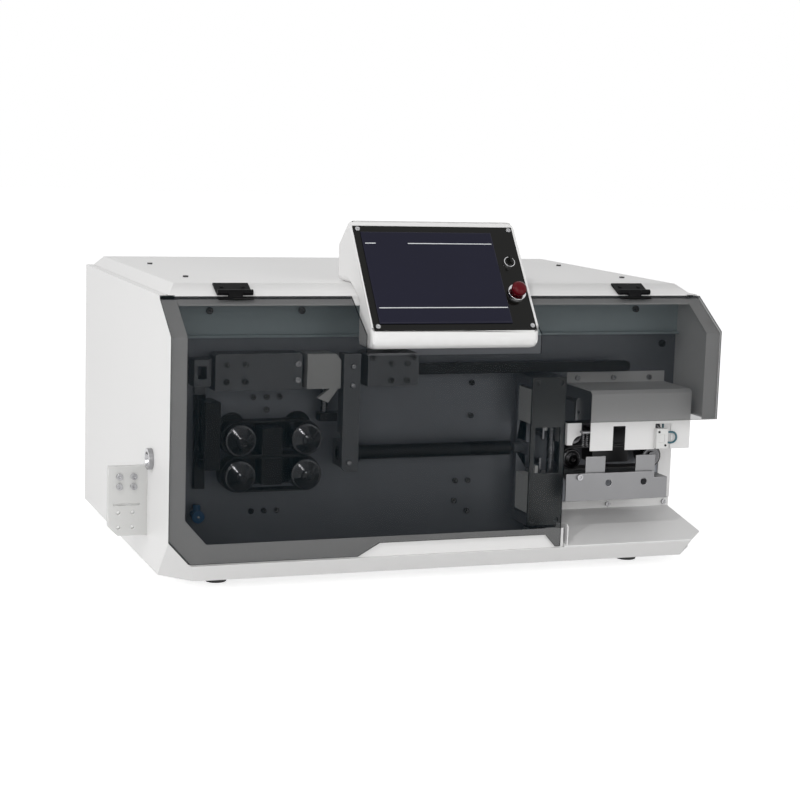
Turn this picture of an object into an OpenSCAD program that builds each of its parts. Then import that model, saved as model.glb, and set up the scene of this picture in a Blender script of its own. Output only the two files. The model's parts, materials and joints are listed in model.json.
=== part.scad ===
// Wire cutting and stripping machine: bench cabinet, smoked cover, belt feeders, guide tube, cutter head.
// Millimetres, +Z up, front faces -Y, origin on the floor under the middle of the outside box.

/* [Housing] */
// outside width of the cabinet
body_w = 820; // [812:1:860]
// outside depth of the cabinet
body_d = 600; // [560:5:680]
// height from the base plate to the flat of the top
body_h = 397; // [394:1:412]
// height of the rubber feet
foot_h = 20; // [12:1:30]
// sheet metal thickness
sheet = 2; // [1.5:0.1:2.4]
// rise of the bevelled rim of the top panel
top_rise = 14; // [11:1:17]
// depth of the slanted upper front
slant_run = 73; // [70:1:80]
// drop of the slanted upper front
slant_drop = 47; // [44:1:50]
// width of the front flange behind the cover
flange_w = 23; // [16:1:30]

/* [Cover] */
// thickness of the smoked sheet
cover_t = 4; // [3:0.5:5]
// gap between the cover and the front flange
cover_gap = 0.5; // [0.4:0.1:1]
// length of the finger recess in the lower edge
grip_w = 252; // [180:2:280]
// height of the finger recess
grip_h = 18; // [12:1:22]
// height of the outlet cut-out above the base
outlet_h = 206; // [200:1:214]
// hinge leaf width
hinge_w = 50; // [40:1:70]

/* [Working bay] */
// distance from the front to the mounting plate
bay_d = 135; // [130:1:150]
// thickness of the mounting plate
plate_t = 8; // [6:0.5:12]
// wire axis above the base plate
wire_h = 154; // [152:1:160]
// wire axis in front of the mounting plate
wire_out = 27; // [26:0.5:30]

/* [In-feed] */
// distance between the two pulleys of a belt
feed_pitch = 96; // [88:1:100]
// radius of the feed pulleys
feed_r = 22.5; // [21:0.5:24]
// belt thickness
belt_t = 2; // [1.5:0.1:2.5]
// lift of the upper feed unit
feed_lift = 12; // [6:1:14]

/* [Guide tube] */
// outside diameter of the guide tube
tube_od = 21; // [16:0.5:24]
// bore of the guide tube
tube_id = 13; // [8:0.5:14]
// lift of the tube arm
tube_lift = 30; // [20:1:32]

/* [Cutter] */
// width of the cutter head
cutter_w = 54; // [50:1:60]
// stroke of each blade carriage
cut_stroke = 15; // [12:0.5:16]
// blade thickness
blade_t = 3; // [2:0.1:4]

/* [Out-feed] */
// distance between the two out-feed pulleys
out_pitch = 132; // [120:1:136]
// radius of the out-feed pulleys
out_r = 15; // [12:0.5:17]

/* [Operator panel] */
// width of the operator box
hmi_w = 250; // [244:1:270]
// slant length of the operator box face
hmi_len = 186; // [180:1:194]
// tilt of the face from level
hmi_tilt = 52; // [46:1:56]
// radius of the stop button head
stop_r = 11; // [9:0.5:13]

/* [Hidden] */
$fn = 48;
fit = 0.3;
left = -body_w / 2;
right = body_w / 2;
front = -body_d / 2;
rear = body_d / 2;
zb = foot_h;
zt = zb + body_h;
zs = zt - top_rise;
hy = front + slant_run;
zbend = zs - slant_drop;
sl_len = sqrt(slant_run * slant_run + slant_drop * slant_drop);
sl_tan = slant_drop / slant_run;
sl_deg = atan2(slant_drop, slant_run);
py = front + bay_d;
pb = py + plate_t;
wz = zb + wire_h;
wy = py - wire_out;
so = cover_t + cover_gap;
strip_h = 25;
strip_run = 19;
cut_x = 55;
cut_y = 66;
cut_z = 61;
outlet_x = right - 245;
lip_top = zb + 53;
bevel_x = 14;
bevel_y = 30;
ledge = 12;
infeed_x = left + 168;
feed_c = feed_r + fit + belt_t + 0.5;
feed_dx = feed_pitch / 2;
belt_w = 24;
cutter_x = right - 239;
cx0 = cutter_x - cutter_w / 2;
cx1 = cutter_x + cutter_w / 2;
out_dx = out_pitch / 2;
out_gap = 24;
out_x = cx1 + out_gap + out_dx;
out_c = out_r + fit + belt_t + 0.5;
hmi_x = -8;
hy0 = front - 4;
hz0 = zbend - 22;
hz2 = hz0 + 24;
htop_y = hy0 + hmi_len * cos(hmi_tilt);
htop_z = hz2 + hmi_len * sin(hmi_tilt);
face_v = hmi_len / 2 - 3;
bez_l = 13 - hmi_w / 2;
bez_r = hmi_w / 2 - 28 - stop_r;
plate_w = hmi_w - 8;
plate_l = hmi_len - 13;
stop_u = hmi_w / 2 - 22;
stop_v = 64;
key_v = 115;
key_r = 9;
axis_y = hy - 2.4;
axis_z = zs + 4.2;
bracket_w = 55;
off_x = bracket_w / 2;
off_y = 0.5;
arm_x0 = left + 268;
arm_x1 = arm_x0 + 25;
arm_y0 = py - 50;
arm_y1 = py - 40;
lift_x = arm_x0 - 18;
rail_x0 = arm_x1 + 12;
rail_x1 = arm_x1 + 89;
rail_end = cutter_x + 135;
clamp_x = infeed_x - 82;
clamp_w = 126;
power_x = left + 75;
belt_z = zb + 24;
screw_x = cutter_x + 16;
screw_y0 = py - 40;
guard_x0 = out_x - 61;
guard_x1 = out_x + 103;

// height of the bend of the cover surface set in by d
function bend_in(d) =
    zbend - d * slant_run / sl_len + (d - d * slant_drop / sl_len) * sl_tan * sl_len / slant_run;
// height of the slanted surface set in by d, at depth y
function slant_z(d, y) = bend_in(d) + (y - front - d) * sl_tan;
// depth where that surface reaches height z
function slant_y(d, z) = front + d + (z - bend_in(d)) / sl_tan;

module box(x0, x1, y0, y1, z0, z1) {
    translate([x0, y0, z0]) cube([x1 - x0, y1 - y0, z1 - z0]);
}
module rod_x(x0, x1, y, z, r) {
    translate([x0, y, z]) rotate([0, 90, 0]) cylinder(r = r, h = x1 - x0);
}
module rod_y(x, z, y0, y1, r) {
    translate([x, y1, z]) rotate([90, 0, 0]) cylinder(r = r, h = y1 - y0);
}
module rod_z(x, y, z0, z1, r) {
    translate([x, y, z0]) cylinder(r = r, h = z1 - z0);
}
// profile drawn as [y, z] and run along X
module run_x(x0, x1, pts) {
    translate([x0, 0, 0]) rotate([90, 0, 90]) linear_extrude(x1 - x0) polygon(pts);
}
// profile drawn as [x, z] and run along Y
module run_y(y0, y1, pts) {
    translate([0, y1, 0]) rotate([90, 0, 0]) linear_extrude(y1 - y0) polygon(pts);
}
// socket screw head on a face that looks to -Y
module screw_y(x, z, y, r, h) {
    translate([x, y, z]) rotate([90, 0, 0]) difference() {
        cylinder(r = r, h = h, $fn = 24);
        translate([0, 0, h * 0.45]) cylinder(r = r * 0.55, h = h, $fn = 6);
    }
}
// socket screw head on a face that looks up
module screw_z(x, y, z, r, h) {
    translate([x, y, z]) difference() {
        cylinder(r = r, h = h, $fn = 24);
        translate([0, 0, h * 0.45]) cylinder(r = r * 0.55, h = h, $fn = 6);
    }
}
// everything beyond the plane that cuts the lower front corner on one side, moved inwards by d
module corner_cut(d = 0) {
    n = [1 / cut_x, 1 / cut_y, 1 / cut_z];
    m = norm(n);
    translate([left, front, zb + cut_z]) rotate([0, acos(n[2] / m), atan2(n[1], n[0])])
        translate([-300, -300, d - 200]) cube([600, 600, 200]);
}
module corner_cuts(d = 0) {
    corner_cut(d);
    mirror([1, 0, 0]) corner_cut(d);
}
// places children on the operator face: u to the right, v up the slope, w out of the face
module on_face(u, v, w) {
    translate([hmi_x, hy0, hz2]) rotate([hmi_tilt, 0, 0]) translate([u, v, w]) children();
}

// moves the machine so that the origin is under the middle of its outside box
module placed() {
    translate([off_x, off_y, 0]) children();
}

module base_pan() {
    color("white") {
        difference() {
            union() {
                translate([0, 0, zb]) linear_extrude(sheet)
                    polygon([[left, front + strip_run], [right, front + strip_run], [right, rear], [left, rear]]);
                run_x(left, right, [[front + strip_run, zb], [front + strip_run + 2.4, zb],
                    [front + 2.6, zb + strip_h - sheet], [front + so + sheet, zb + strip_h - sheet],
                    [front + so + sheet, zb + strip_h], [front + 0.6, zb + strip_h]]);
            }
            corner_cuts();
            for (x = [left + 90, right - 90], y = [front + 95, rear - 95])
                rod_z(x, y, zb - 1, zb + sheet + 1, 3.2);
        }
        difference() {
            intersection() {
                difference() {
                    corner_cut(sheet);
                    corner_cut();
                }
                run_x(left, left + 60, [[front + strip_run, zb], [front + 90, zb], [front + 90, zb + 80],
                    [front, zb + 80], [front, zb + strip_h], [front + 0.6, zb + strip_h]]);
            }
            box(left, left + 60, front - 1, front + so + 0.01, zb + strip_h, zb + 90);
        }
    }
}
module side_outline() {
    polygon([[front + so, zb + sheet], [front + so, bend_in(so)], [slant_y(so, zs), zs], [rear - sheet, zs],
        [rear - sheet, zb + sheet]]);
}
module left_side_panel() {
    color("white") difference() {
        union() {
            translate([left, 0, 0]) rotate([90, 0, 90]) linear_extrude(sheet) side_outline();
            box(left, left + ledge + 8, hy + 14, rear - sheet, zs - sheet, zs);
        }
        corner_cut(sheet);
        rod_x(left - 1, left + sheet + 1, wy, wz, 11);
        box(left - 1, left + sheet + 1, py, pb, zb + 41, zb + 140);
        box(left - 1, left + sheet + 1, pb - 1, pb + 8, zb + 95, zb + 136);
    }
}
module right_side_panel() {
    color("white") {
        difference() {
            union() {
                translate([right - sheet, 0, 0]) rotate([90, 0, 90]) linear_extrude(sheet) side_outline();
                box(right - ledge - 8, right, hy + 14, rear - sheet, zs - sheet, zs);
                box(right - 14, right, front + so + sheet, py, zb + outlet_h, zb + outlet_h + sheet);
            }
            box(right - 20, right + 1, front - 1, py, zb, zb + outlet_h);
            for (z = [wz - 40 : 18 : wz + 68])
                box(right - 5, right + 1, pb + 120, rear - 80, z, z + 6);
        }
        box(right - 22, right, py - sheet, py, zb + 64, zb + outlet_h);
    }
}
module rear_panel() {
    color("white") difference() {
        box(left, right, rear - sheet, rear, zb + sheet, zs);
        for (x = [-260, 90], z = [wz + 10 : 16 : wz + 122])
            box(x, x + 150, rear - 5, rear + 1, z, z + 6);
        box(power_x + 4.8, power_x + 63.2, rear - 5, rear + 1, zb + 39.8, zb + 88.2);
    }
}
module top_shape(d) {
    intersection() {
        run_y(hy + d, rear - d, [[left + ledge + d, zs - 3], [left + ledge + d, zs],
            [left + ledge + bevel_x + d * 0.6, zt - d], [right - ledge - bevel_x - d * 0.6, zt - d],
            [right - ledge - d, zs], [right - ledge - d, zs - 3]]);
        run_x(left, right, [[hy + d, zs - 3], [hy + d, zs], [hy + bevel_y + d * 0.6, zt - d],
            [rear - 12 - d * 0.6, zt - d], [rear - d, zs], [rear - d, zs - 3]]);
    }
}
module top_panel() {
    color("white") {
        difference() {
            top_shape(0);
            top_shape(sheet);
            box(left, right, front, rear + 1, zs - 9, zs);
        }
        run_x(left + ledge + 9, right - ledge - 9, [[hy, zs], [hy + sheet, zs], [hy + sheet, zs - 12],
            [hy, zs - 12]]);
        box(left + ledge + 9, right - ledge - 9, hy + sheet, pb, zs - sheet, zs);
    }
}
module front_frame() {
    inner = left + flange_w;
    color("white") {
        difference() {
            union() {
                difference() {
                    run_y(front + so, front + so + sheet, [[left + sheet, zb + strip_h],
                        [left + sheet, bend_in(so)], [right - sheet, bend_in(so)], [right - sheet, zb + outlet_h],
                        [outlet_x + 6, zb + outlet_h], [outlet_x + 6, zb + strip_h]]);
                    run_y(front, front + 20, [[inner, lip_top + 34], [inner, zbend + 20], [-inner, zbend + 20],
                        [-inner, zb + outlet_h - 1], [outlet_x + 40, zb + outlet_h - 1],
                        [outlet_x + 40, lip_top], [inner + 30, lip_top]]);
                }
                for (x = [left + sheet, right - flange_w])
                    run_x(x, x + flange_w - sheet, [[front + so, bend_in(so)],
                        [front + so + sheet, bend_in(so + sheet)], [hy - 1, slant_z(so + sheet, hy - 1)],
                        [hy - 1, slant_z(so, hy - 1)]]);
                run_x(left + flange_w, right - flange_w, [[hy - 10, slant_z(so, hy - 10)],
                    [hy - 10, slant_z(so + sheet, hy - 10)], [hy, slant_z(so + sheet, hy)],
                    [hy, slant_z(so, hy)]]);
            }
            corner_cut(sheet);
        }
    }
}
module mounting_plate() {
    color("dimgray") difference() {
        box(left + sheet, right - sheet, py, pb, zb + sheet, zs - 13);
        for (x = [infeed_x - feed_dx, infeed_x + feed_dx]) {
            rod_y(x, wz - feed_c, py - 1, pb + 1, 9);
            for (z = [0, feed_lift])
                rod_y(x, wz + feed_c + z, py - 1, pb + 1, 20);
            box(x - 20, x + 20, py - 1, pb + 1, wz + feed_c, wz + feed_c + feed_lift);
        }
        for (x = [out_x - out_dx, out_x + out_dx], z = [wz - out_c, wz + out_c])
            rod_y(x, z, py - 1, pb + 1, 6.06);
        box(screw_x - 19, screw_x + 19, py - 1, pb + 1, belt_z - 3, belt_z + 17);
    }
}
module upper_fascia() {
    color("slategray") {
        run_x(left + sheet, right - sheet, [[py, zbend - 18], [py - 9, zbend - 18], [py - 9, zbend - 14],
            [py - 3, zbend - 14], [py - 3, zs - 16], [py, zs - 16]]);
    }
}
module feet() {
    color("black") for (x = [left + 90, right - 90], y = [front + 95, rear - 95]) {
        translate([x, y, 0]) cylinder(r1 = 15, r2 = 19, h = zb);
        rod_z(x, y, zb, zb + sheet + 4, 3);
    }
}
module plate_screws() {
    color("silver") {
        for (p = [[-98, 248], [-98, 199], [-98, 154], [-119, 102], [-99, 102], [-120, 72], [-99, 56]])
            screw_y(cutter_x + p[0], zb + p[1], py, 4.2, 4);
        for (x = [-18, 1, 20])
            screw_y(infeed_x + x, zb + 69, py, 4.2, 4);
        for (p = [[-18, 233], [2, 233], [21, 233], [2, 215]])
            screw_y(infeed_x + p[0], zb + p[1], py, 4.2, 4);
        for (p = [[16, 284], [43, 284], [16, 260], [43, 260], [119, 284], [119, 261]])
            screw_y(clamp_x + p[0], zb + p[1], py - 34, 4.2, 4);
        for (p = [[7, 292], [35, 284], [59, 284], [67, 293], [35, 260], [59, 260]])
            screw_y(rail_x0 + p[0], zb + p[1], py - 46, 4.2, 4);
        for (x = [out_x - 44, out_x + 16, out_x + 76])
            screw_y(x, wz + 98, py - 2, 4, 3.5);
        for (x = [left - 39, left - 19], z = [zb + 111, zb + 125])
            screw_y(x, z, py, 4.6, 4.5);
        for (x = [outlet_x + 43, outlet_x + 139, right - 10])
            screw_y(x, zb + 57, py - 2, 4, 3.5);
        screw_y(out_x - 76, wz - 36, py - 90, 4.5, 4);
    }
}
module panel_screws() {
    color("black") {
        for (x = [left + 84, left + 218, right - 75, cutter_x - 111])
            screw_y(x, zs - 27, py - 3, 5, 4);
        for (x = [left + 66, right - 66], y = [hy + 126, rear - 170])
            screw_z(x, y, zt, 4, 2.4);
        for (u = [hmi_w / 2 - 10, 10 - hmi_w / 2], v = [10, plate_l - 2])
            on_face(u, v, 0.6) difference() {
                cylinder(r = 3.4, h = 2, $fn = 24);
                translate([0, 0, 0.8]) cylinder(r = 1.8, h = 4, $fn = 6);
            }
    }
}
module hmi_box() {
    color("white") difference() {
        run_x(hmi_x - hmi_w / 2, hmi_x + hmi_w / 2, [[hy0, hz0 + 8], [hy0, hz2], [htop_y, htop_z],
            [htop_y + 6, htop_z + 1], [htop_y + 48, htop_z - 34], [htop_y + 44, zt], [hy + bevel_y, zt], [hy, zs],
            [hy - 14, slant_z(0, hy - 14)], [hy - 14, hz0], [hy0 + 10, hz0]]);
        run_x(hmi_x - hmi_w / 2 + 2.5, hmi_x + hmi_w / 2 - 2.5, [[hy0 + 2.5, hz0 + 9], [hy0 + 2.5, hz2 - 5],
            [htop_y + 2.5, htop_z - 5.4], [htop_y + 6, htop_z - 3], [htop_y + 45, htop_z - 36],
            [htop_y + 41.5, zt + 2.5], [hy + bevel_y - 1, zt + 2.5], [hy - 1, zs + 2.5], [hy - 16.5, zs - 8],
            [hy - 16.5, hz0 + 2.5], [hy0 + 11, hz0 + 2.5]]);
        on_face(0, 0, 0) {
            box(-plate_w / 2 - fit, plate_w / 2 + fit, 4 - fit, 4 + plate_l + fit, -2.4, 6);
            box(bez_l + 10, bez_r - 8, face_v - 64, face_v + 62, -12, 6);
            for (v = [stop_v, key_v])
                translate([stop_u, v, -12]) cylinder(r = 11.4, h = 20);
        }
    }
}
module hmi_plate() {
    color("black") on_face(0, 0, 0) difference() {
        box(-plate_w / 2, plate_w / 2, 4, 4 + plate_l, -2.4, 0.6);
        box(bez_l + 10.7, bez_r - 8.7, face_v - 63.3, face_v + 61.3, -12, 6);
        translate([stop_u, stop_v, -12]) cylinder(r = 11, h = 20);
        translate([stop_u, key_v, -12]) cylinder(r = key_r - 1.6, h = 20);
    }
}
module touch_panel() {
    color("midnightblue") on_face(0, 0, 0) {
        intersection() {
            run_y(face_v - 76, face_v + 76, [[bez_l, 0.6], [bez_l, 2.2], [bez_l + 1.6, 3.6], [bez_r - 1.6, 3.6],
                [bez_r, 2.2], [bez_r, 0.6]]);
            run_x(bez_l - 5, bez_r + 5, [[face_v - 76, 0.6], [face_v - 76, 2.2], [face_v - 74.4, 3.6],
                [face_v + 74.4, 3.6], [face_v + 76, 2.2], [face_v + 76, 0.6]]);
        }
        box(bez_l + 11, bez_r - 9, face_v - 63, face_v + 61, -14, 0.6);
    }
}
module switch_collars() {
    color("silver") {
        on_face(stop_u, stop_v, 0) difference() {
            union() {
                translate([0, 0, 0.6]) cylinder(r1 = stop_r + 3.4, r2 = stop_r + 2, h = 4.4);
                translate([0, 0, -15]) cylinder(r = 10.6, h = 16);
            }
            translate([0, 0, -12]) cylinder(r = 6.08, h = 40);
        }
        on_face(stop_u, key_v, 0) difference() {
            union() {
                translate([0, 0, 0.6]) cylinder(r1 = key_r, r2 = key_r - 0.8, h = 4.4);
                translate([0, 0, -15]) cylinder(r = key_r - 2, h = 16);
            }
            translate([0, 0, -12]) cylinder(r = 4.08, h = 16);
            translate([0, 0, 3]) cylinder(r = key_r - 2, h = 10);
        }
    }
}
module key_switch() {
    color("black") on_face(stop_u, key_v, 0) {
        translate([0, 0, -8]) cylinder(r = 4, h = 12);
        translate([0, 0, 3.4]) cylinder(r = key_r - 2.4, h = 3);
        box(-1.8, 1.8, 3 - key_r, key_r - 3, 6.4, 12);
    }
}
module stop_button() {
    color("red") on_face(stop_u, stop_v, 0) rotate_extrude()
        polygon([[0, -6], [6, -6], [6, 9.6], [stop_r - 2, 9.6], [stop_r, 11.4], [stop_r, 15], [stop_r - 1.5, 17.6],
            [stop_r - 4.5, 19.6], [0, 20.6]]);
}
module cover() {
    gx = 15;
    color([0.25, 0.27, 0.28, 0.5]) difference() {
        run_x(left, right, [[hy - 1.5, slant_z(0, hy - 1.5)], [front, zbend], [front, zb + strip_h + 2],
            [front + cover_t, zb + strip_h + 2], [front + cover_t, bend_in(cover_t)],
            [hy - 1.5, slant_z(cover_t, hy - 1.5)]]);
        corner_cut(0.3);
        run_y(front - 1, front + 20, [[gx - grip_w / 2 - 32, zb + strip_h - 4],
            [gx - grip_w / 2 - 32, zb + strip_h + 2], [gx - grip_w / 2, zb + strip_h + 2 + grip_h],
            [gx + grip_w / 2, zb + strip_h + 2 + grip_h], [gx + grip_w / 2 + 16, zb + strip_h + 2],
            [gx + grip_w / 2 + 16, zb + strip_h - 4]]);
        box(outlet_x, right + 1, front - 1, front + 20, zb, zb + outlet_h);
        box(hmi_x - hmi_w / 2 - 5, hmi_x + hmi_w / 2 + 5, front - 1, hy + 1, hz0 - 7, zs + 5);
    }
}
module hinge_fixed_leaves() {
    b = atan2(top_rise, bevel_y);
    n = [-sin(b), cos(b)];
    d = [cos(b), sin(b)];
    o = [hy, zs];
    c = hinge_w * 0.2;
    color("black") for (x = [left + 104, right - 110]) {
        difference() {
            union() {
                run_x(x - hinge_w / 2, x + hinge_w / 2, [o, o + 29 * d, o + 29 * d + 3 * n, o + 3 * n]);
                rod_x(x - hinge_w / 2, x - c, axis_y, axis_z, 4);
                rod_x(x + c, x + hinge_w / 2, axis_y, axis_z, 4);
            }
            rod_x(x - c - fit, x + c + fit, axis_y, axis_z, 5);
        }
        rod_x(x - hinge_w / 2, x + hinge_w / 2, axis_y, axis_z, 1.6);
        for (i = [-1, 1])
            translate([x + i * hinge_w * 0.3, hy, zs]) rotate([b, 0, 0]) translate([0, 18, 3])
                cylinder(r = 3, h = 1.2);
    }
}
module hinge_moving_leaves() {
    m = [-slant_drop / sl_len, slant_run / sl_len];
    d = [-slant_run / sl_len, -slant_drop / sl_len];
    c = hinge_w * 0.2;
    p = [hy - 3, slant_z(0, hy - 3) + 0.01];
    q = p + 3 * d;
    e = p + 7 * d;
    color("black") for (x = [left + 104, right - 110]) {
        difference() {
            union() {
                run_x(x - c, x + c, [p, q, q + 2.5 * m, [axis_y - 3.4, axis_z + 1.2], [axis_y + 1, axis_z - 2]]);
                rod_x(x - c, x + c, axis_y, axis_z, 4);
                run_x(x - hinge_w / 2, x + hinge_w / 2, [q, e, e + 2.5 * m, q + 2.5 * m]);
            }
            rod_x(x - c - 1, x + c + 1, axis_y, axis_z, 1.66);
        }
    }
}
module inlet_bushing() {
    color("silver") difference() {
        union() {
            rod_x(left - 7, left, wy, wz, 15);
            rod_x(left, left + 18, wy, wz, 10.9);
        }
        rod_x(left - 8, left + 20, wy, wz, 5.5);
        translate([left - 7.01, wy, wz]) rotate([0, 90, 0]) cylinder(r1 = 11, r2 = 5.5, h = 5);
    }
}
module inlet_bracket() {
    color("gainsboro") difference() {
        union() {
            run_y(py, pb, [[left - bracket_w, zb + 55], [left - 41, zb + 41], [left + sheet, zb + 41],
                [left + sheet, zb + 140], [left - bracket_w, zb + 140]]);
            box(left - 50, left + 44, pb, pb + 8, zb + 95, zb + 136);
        }
        box(left - 47, left - 10, py - 1, py + 2.5, zb + 84, zb + 86.5);
        for (x = [left - 40, left - 20], z = [zb + 53, zb + 74])
            rod_y(x, z, py - 1, pb + 1, 2.6);
    }
}
module infeed_clamp_plate() {
    color("dimgray") difference() {
        union() {
            translate([clamp_x, 0, 0]) run_y(py - 34, py, [[0, zb + 247], [clamp_w, zb + 247],
                [clamp_w, zb + 296], [clamp_w - 4, zb + 299], [4, zb + 299], [0, zb + 296]]);
            box(clamp_x - 29, clamp_x + 1, py - 16, py, zb + 253, zb + 291);
            box(clamp_x - 29, clamp_x - 5, py - 30, py, zb + 253, zb + 291);
            box(clamp_x - 22, clamp_x - 6, py - 8, py, zb + 105, zb + 254);
            box(clamp_x - 16, clamp_x + 6, py - 46, py, wz - 16, zb + 233);
        }
        box(clamp_x - 23, clamp_x - 11, py - 60, py + 1, zb + 264, zb + 281);
        box(clamp_x - 17, clamp_x + 7, wy - 6, py - 8, wz - 6, wz + 6);
    }
}
module carrier_shape(z, y0, y1) {
    box(infeed_x - feed_dx, infeed_x + feed_dx, y0, y1, z - 19, z + 19);
    for (x = [infeed_x - feed_dx, infeed_x + feed_dx])
        rod_y(x, z, y0, y1, 19);
}
module shaft_bores(z) {
    for (x = [infeed_x - feed_dx, infeed_x + feed_dx])
        rod_y(x, z, py - 50, py + 1, 8.06);
}
module infeed_lower_carrier() {
    z = wz - feed_c;
    color("black") difference() {
        union() {
            carrier_shape(z, py - 9, py);
            box(infeed_x - 15, infeed_x + 15, py - 42, py, z - 15, z + feed_r + fit);
        }
        shaft_bores(z);
    }
}
module infeed_upper_carrier() {
    z = wz + feed_c;
    color("black") difference() {
        union() {
            carrier_shape(z, py - 9, py - fit);
            box(infeed_x - 15, infeed_x + 15, py - 42, py - fit, z - feed_r - fit, z + 15);
        }
        shaft_bores(z);
    }
}
module feed_pulley(x, z) {
    translate([x, py, z]) rotate([90, 0, 0]) rotate_extrude()
        polygon([[0, -28], [8, -28], [8, 12], [feed_r, 12], [feed_r, 49], [feed_r - 2, 51], [feed_r - 3, 51],
            [9, 59.2], [9, 66], [8, 67], [4.5, 67], [4.5, 61], [0, 61]]);
}
module infeed_pulley_lower_left() {
    color("black") feed_pulley(infeed_x - feed_dx, wz - feed_c);
}
module infeed_pulley_lower_right() {
    color("black") feed_pulley(infeed_x + feed_dx, wz - feed_c);
}
module infeed_pulley_upper_left() {
    color("black") feed_pulley(infeed_x - feed_dx, wz + feed_c);
}
module infeed_pulley_upper_right() {
    color("black") feed_pulley(infeed_x + feed_dx, wz + feed_c);
}
// endless belt around two pulleys of radius r
module belt(x0, x1, z, r, y0, y1) {
    difference() {
        union() {
            box(x0, x1, y0, y1, z - r - fit - belt_t, z + r + fit + belt_t);
            for (x = [x0, x1])
                rod_y(x, z, y0, y1, r + fit + belt_t);
        }
        box(x0, x1, y0 - 1, y1 + 1, z - r - fit, z + r + fit);
        for (x = [x0, x1])
            rod_y(x, z, y0 - 1, y1 + 1, r + fit);
    }
}
module infeed_lower_belt() {
    color("dimgray") belt(infeed_x - feed_dx, infeed_x + feed_dx, wz - feed_c, feed_r, py - 13 - belt_w, py - 13);
}
module infeed_upper_belt() {
    color("dimgray") belt(infeed_x - feed_dx, infeed_x + feed_dx, wz + feed_c, feed_r, py - 13 - belt_w, py - 13);
}
module motor_body(x, z, y0, len, r) {
    difference() {
        union() {
            box(x - 28, x + 28, y0, y0 + 9, z - 28, z + 28);
            box(x - 26, x + 26, y0 + 9, y0 + len - 12, z - 26, z + 26);
            box(x - 28, x + 28, y0 + len - 12, y0 + len, z - 28, z + 28);
        }
        rod_y(x, z, y0 - 1, y0 + 32, r);
    }
}
module infeed_lower_motor() {
    color("darkslategray") motor_body(infeed_x + feed_dx, wz - feed_c, pb, 82, 8.6);
}
module infeed_upper_motor() {
    x = infeed_x - feed_dx;
    z = wz + feed_c;
    color("darkslategray") {
        motor_body(x, z, pb + 1, 82, 8.6);
        difference() {
            rod_y(x, z, py - fit, pb + 1, 18.5);
            rod_y(x, z, py - 1, pb + 2, 8.6);
        }
    }
}
module air_fitting() {
    color("royalblue") {
        rod_y(clamp_x - 18, zb + 68, py - 18, py, 7);
        rod_y(clamp_x - 18, zb + 68, py - 24, py - 18, 9);
        rod_z(clamp_x - 18, py - 12, zb + 68, zb + 84, 5.5);
    }
}
module guide_rail() {
    color("black") {
        box(rail_x1, rail_end, py - 38, py - 24, zb + 266, zb + 282);
        rod_y(rail_end, zb + 274, py - 38, py - 24, 8);
        for (x = [rail_x1 + 78, (rail_x1 + 62 + rail_end) / 2, rail_end - 16])
            rod_y(x, zb + 274, py - 24, py, 6);
    }
}
module rail_clamp() {
    color("dimgray") run_y(py - 46, py, [[rail_x0, zb + 251], [rail_x1, zb + 251], [rail_x1, zb + 296],
        [rail_x1 - 3, zb + 299], [rail_x0 + 3, zb + 299], [rail_x0, zb + 296]]);
}
module lift_cylinder() {
    color("lightgray") difference() {
        union() {
            translate([lift_x, 0, 0]) {
                run_y(py - 44, py, [[-34, zb + 249], [16, zb + 249], [16, zb + 289], [8, zb + 299],
                    [-34, zb + 299]]);
                run_y(py - 44, py - 36, [[-18, zb + 236], [-2, zb + 229], [11, zb + 247], [11, zb + 250],
                    [1, zb + 250]]);
            }
        }
        rod_z(lift_x, py - 18, zb + 230, zb + 310, 5.08);
    }
}
module lift_rod() {
    color("silver") rod_z(lift_x, py - 18, wz + 58, zb + 292, 5);
}
module tube_arm() {
    color("gray") difference() {
        union() {
            run_y(arm_y0, arm_y1, [[arm_x0, wz - 18], [arm_x0 + 6, wz - 24], [arm_x1, wz - 24], [arm_x1, zb + 299],
                [arm_x0, zb + 299]]);
            box(arm_x0, arm_x1, arm_y1, py - 8, wz - 18, wz + 18);
            box(arm_x0, arm_x0 + 10, arm_y1, py - 26, wz + 30, zb + 299);
            box(lift_x - 9, arm_x0 + 10, py - 28, py - 8, wz + 46, wz + 58);
        }
        rod_x(arm_x0 - 1, arm_x1 + 1, wy, wz, tube_od / 2);
        rod_y(arm_x0 + 11, wz - 11, arm_y0 - 1, arm_y0 + 3, 4);
        for (z = [zb + 254, zb + 281])
            rod_y(arm_x0 + 14, z, arm_y0 - 1, arm_y0 + 3, 4);
    }
}
module guide_tube() {
    color("black") difference() {
        union() {
            rod_x(arm_x0, cx0 - 18, wy, wz, tube_od / 2);
            rod_x(arm_x1, arm_x1 + 7, wy, wz, tube_od / 2 + 3.5);
        }
        rod_x(arm_x0 - 1, cx0, wy, wz, tube_id / 2);
    }
}
module cutter_base() {
    color("dimgray") difference() {
        union() {
            box(cx0, cx1, py - 12, py, wz - 112, wz + 108);
            box(cutter_x - 11, cutter_x + 11, py - 22, py - 12, wz + 34, wz + 108);
            box(cutter_x - 11, cutter_x + 11, py - 22, py - 12, wz - 112, wz - 34);
            box(cx0, cx1, py - 58, py - 12, wz + 93, wz + 108);
            box(cx0, cx1, py - 58, py - 12, wz - 112, wz - 97);
            box(cx0 + 1, cx0 + 8, py - 52, py - 12, wz - 9, wz + 9);
            rod_x(cx0 - 12, cx0 + 14, wy, wz, 7);
        }
        rod_x(cx0 - 13, cx0 + 15, wy, wz, 4.5);
        rod_z(screw_x, screw_y0, wz - 120, wz + 120, 6.08);
    }
}
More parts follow.
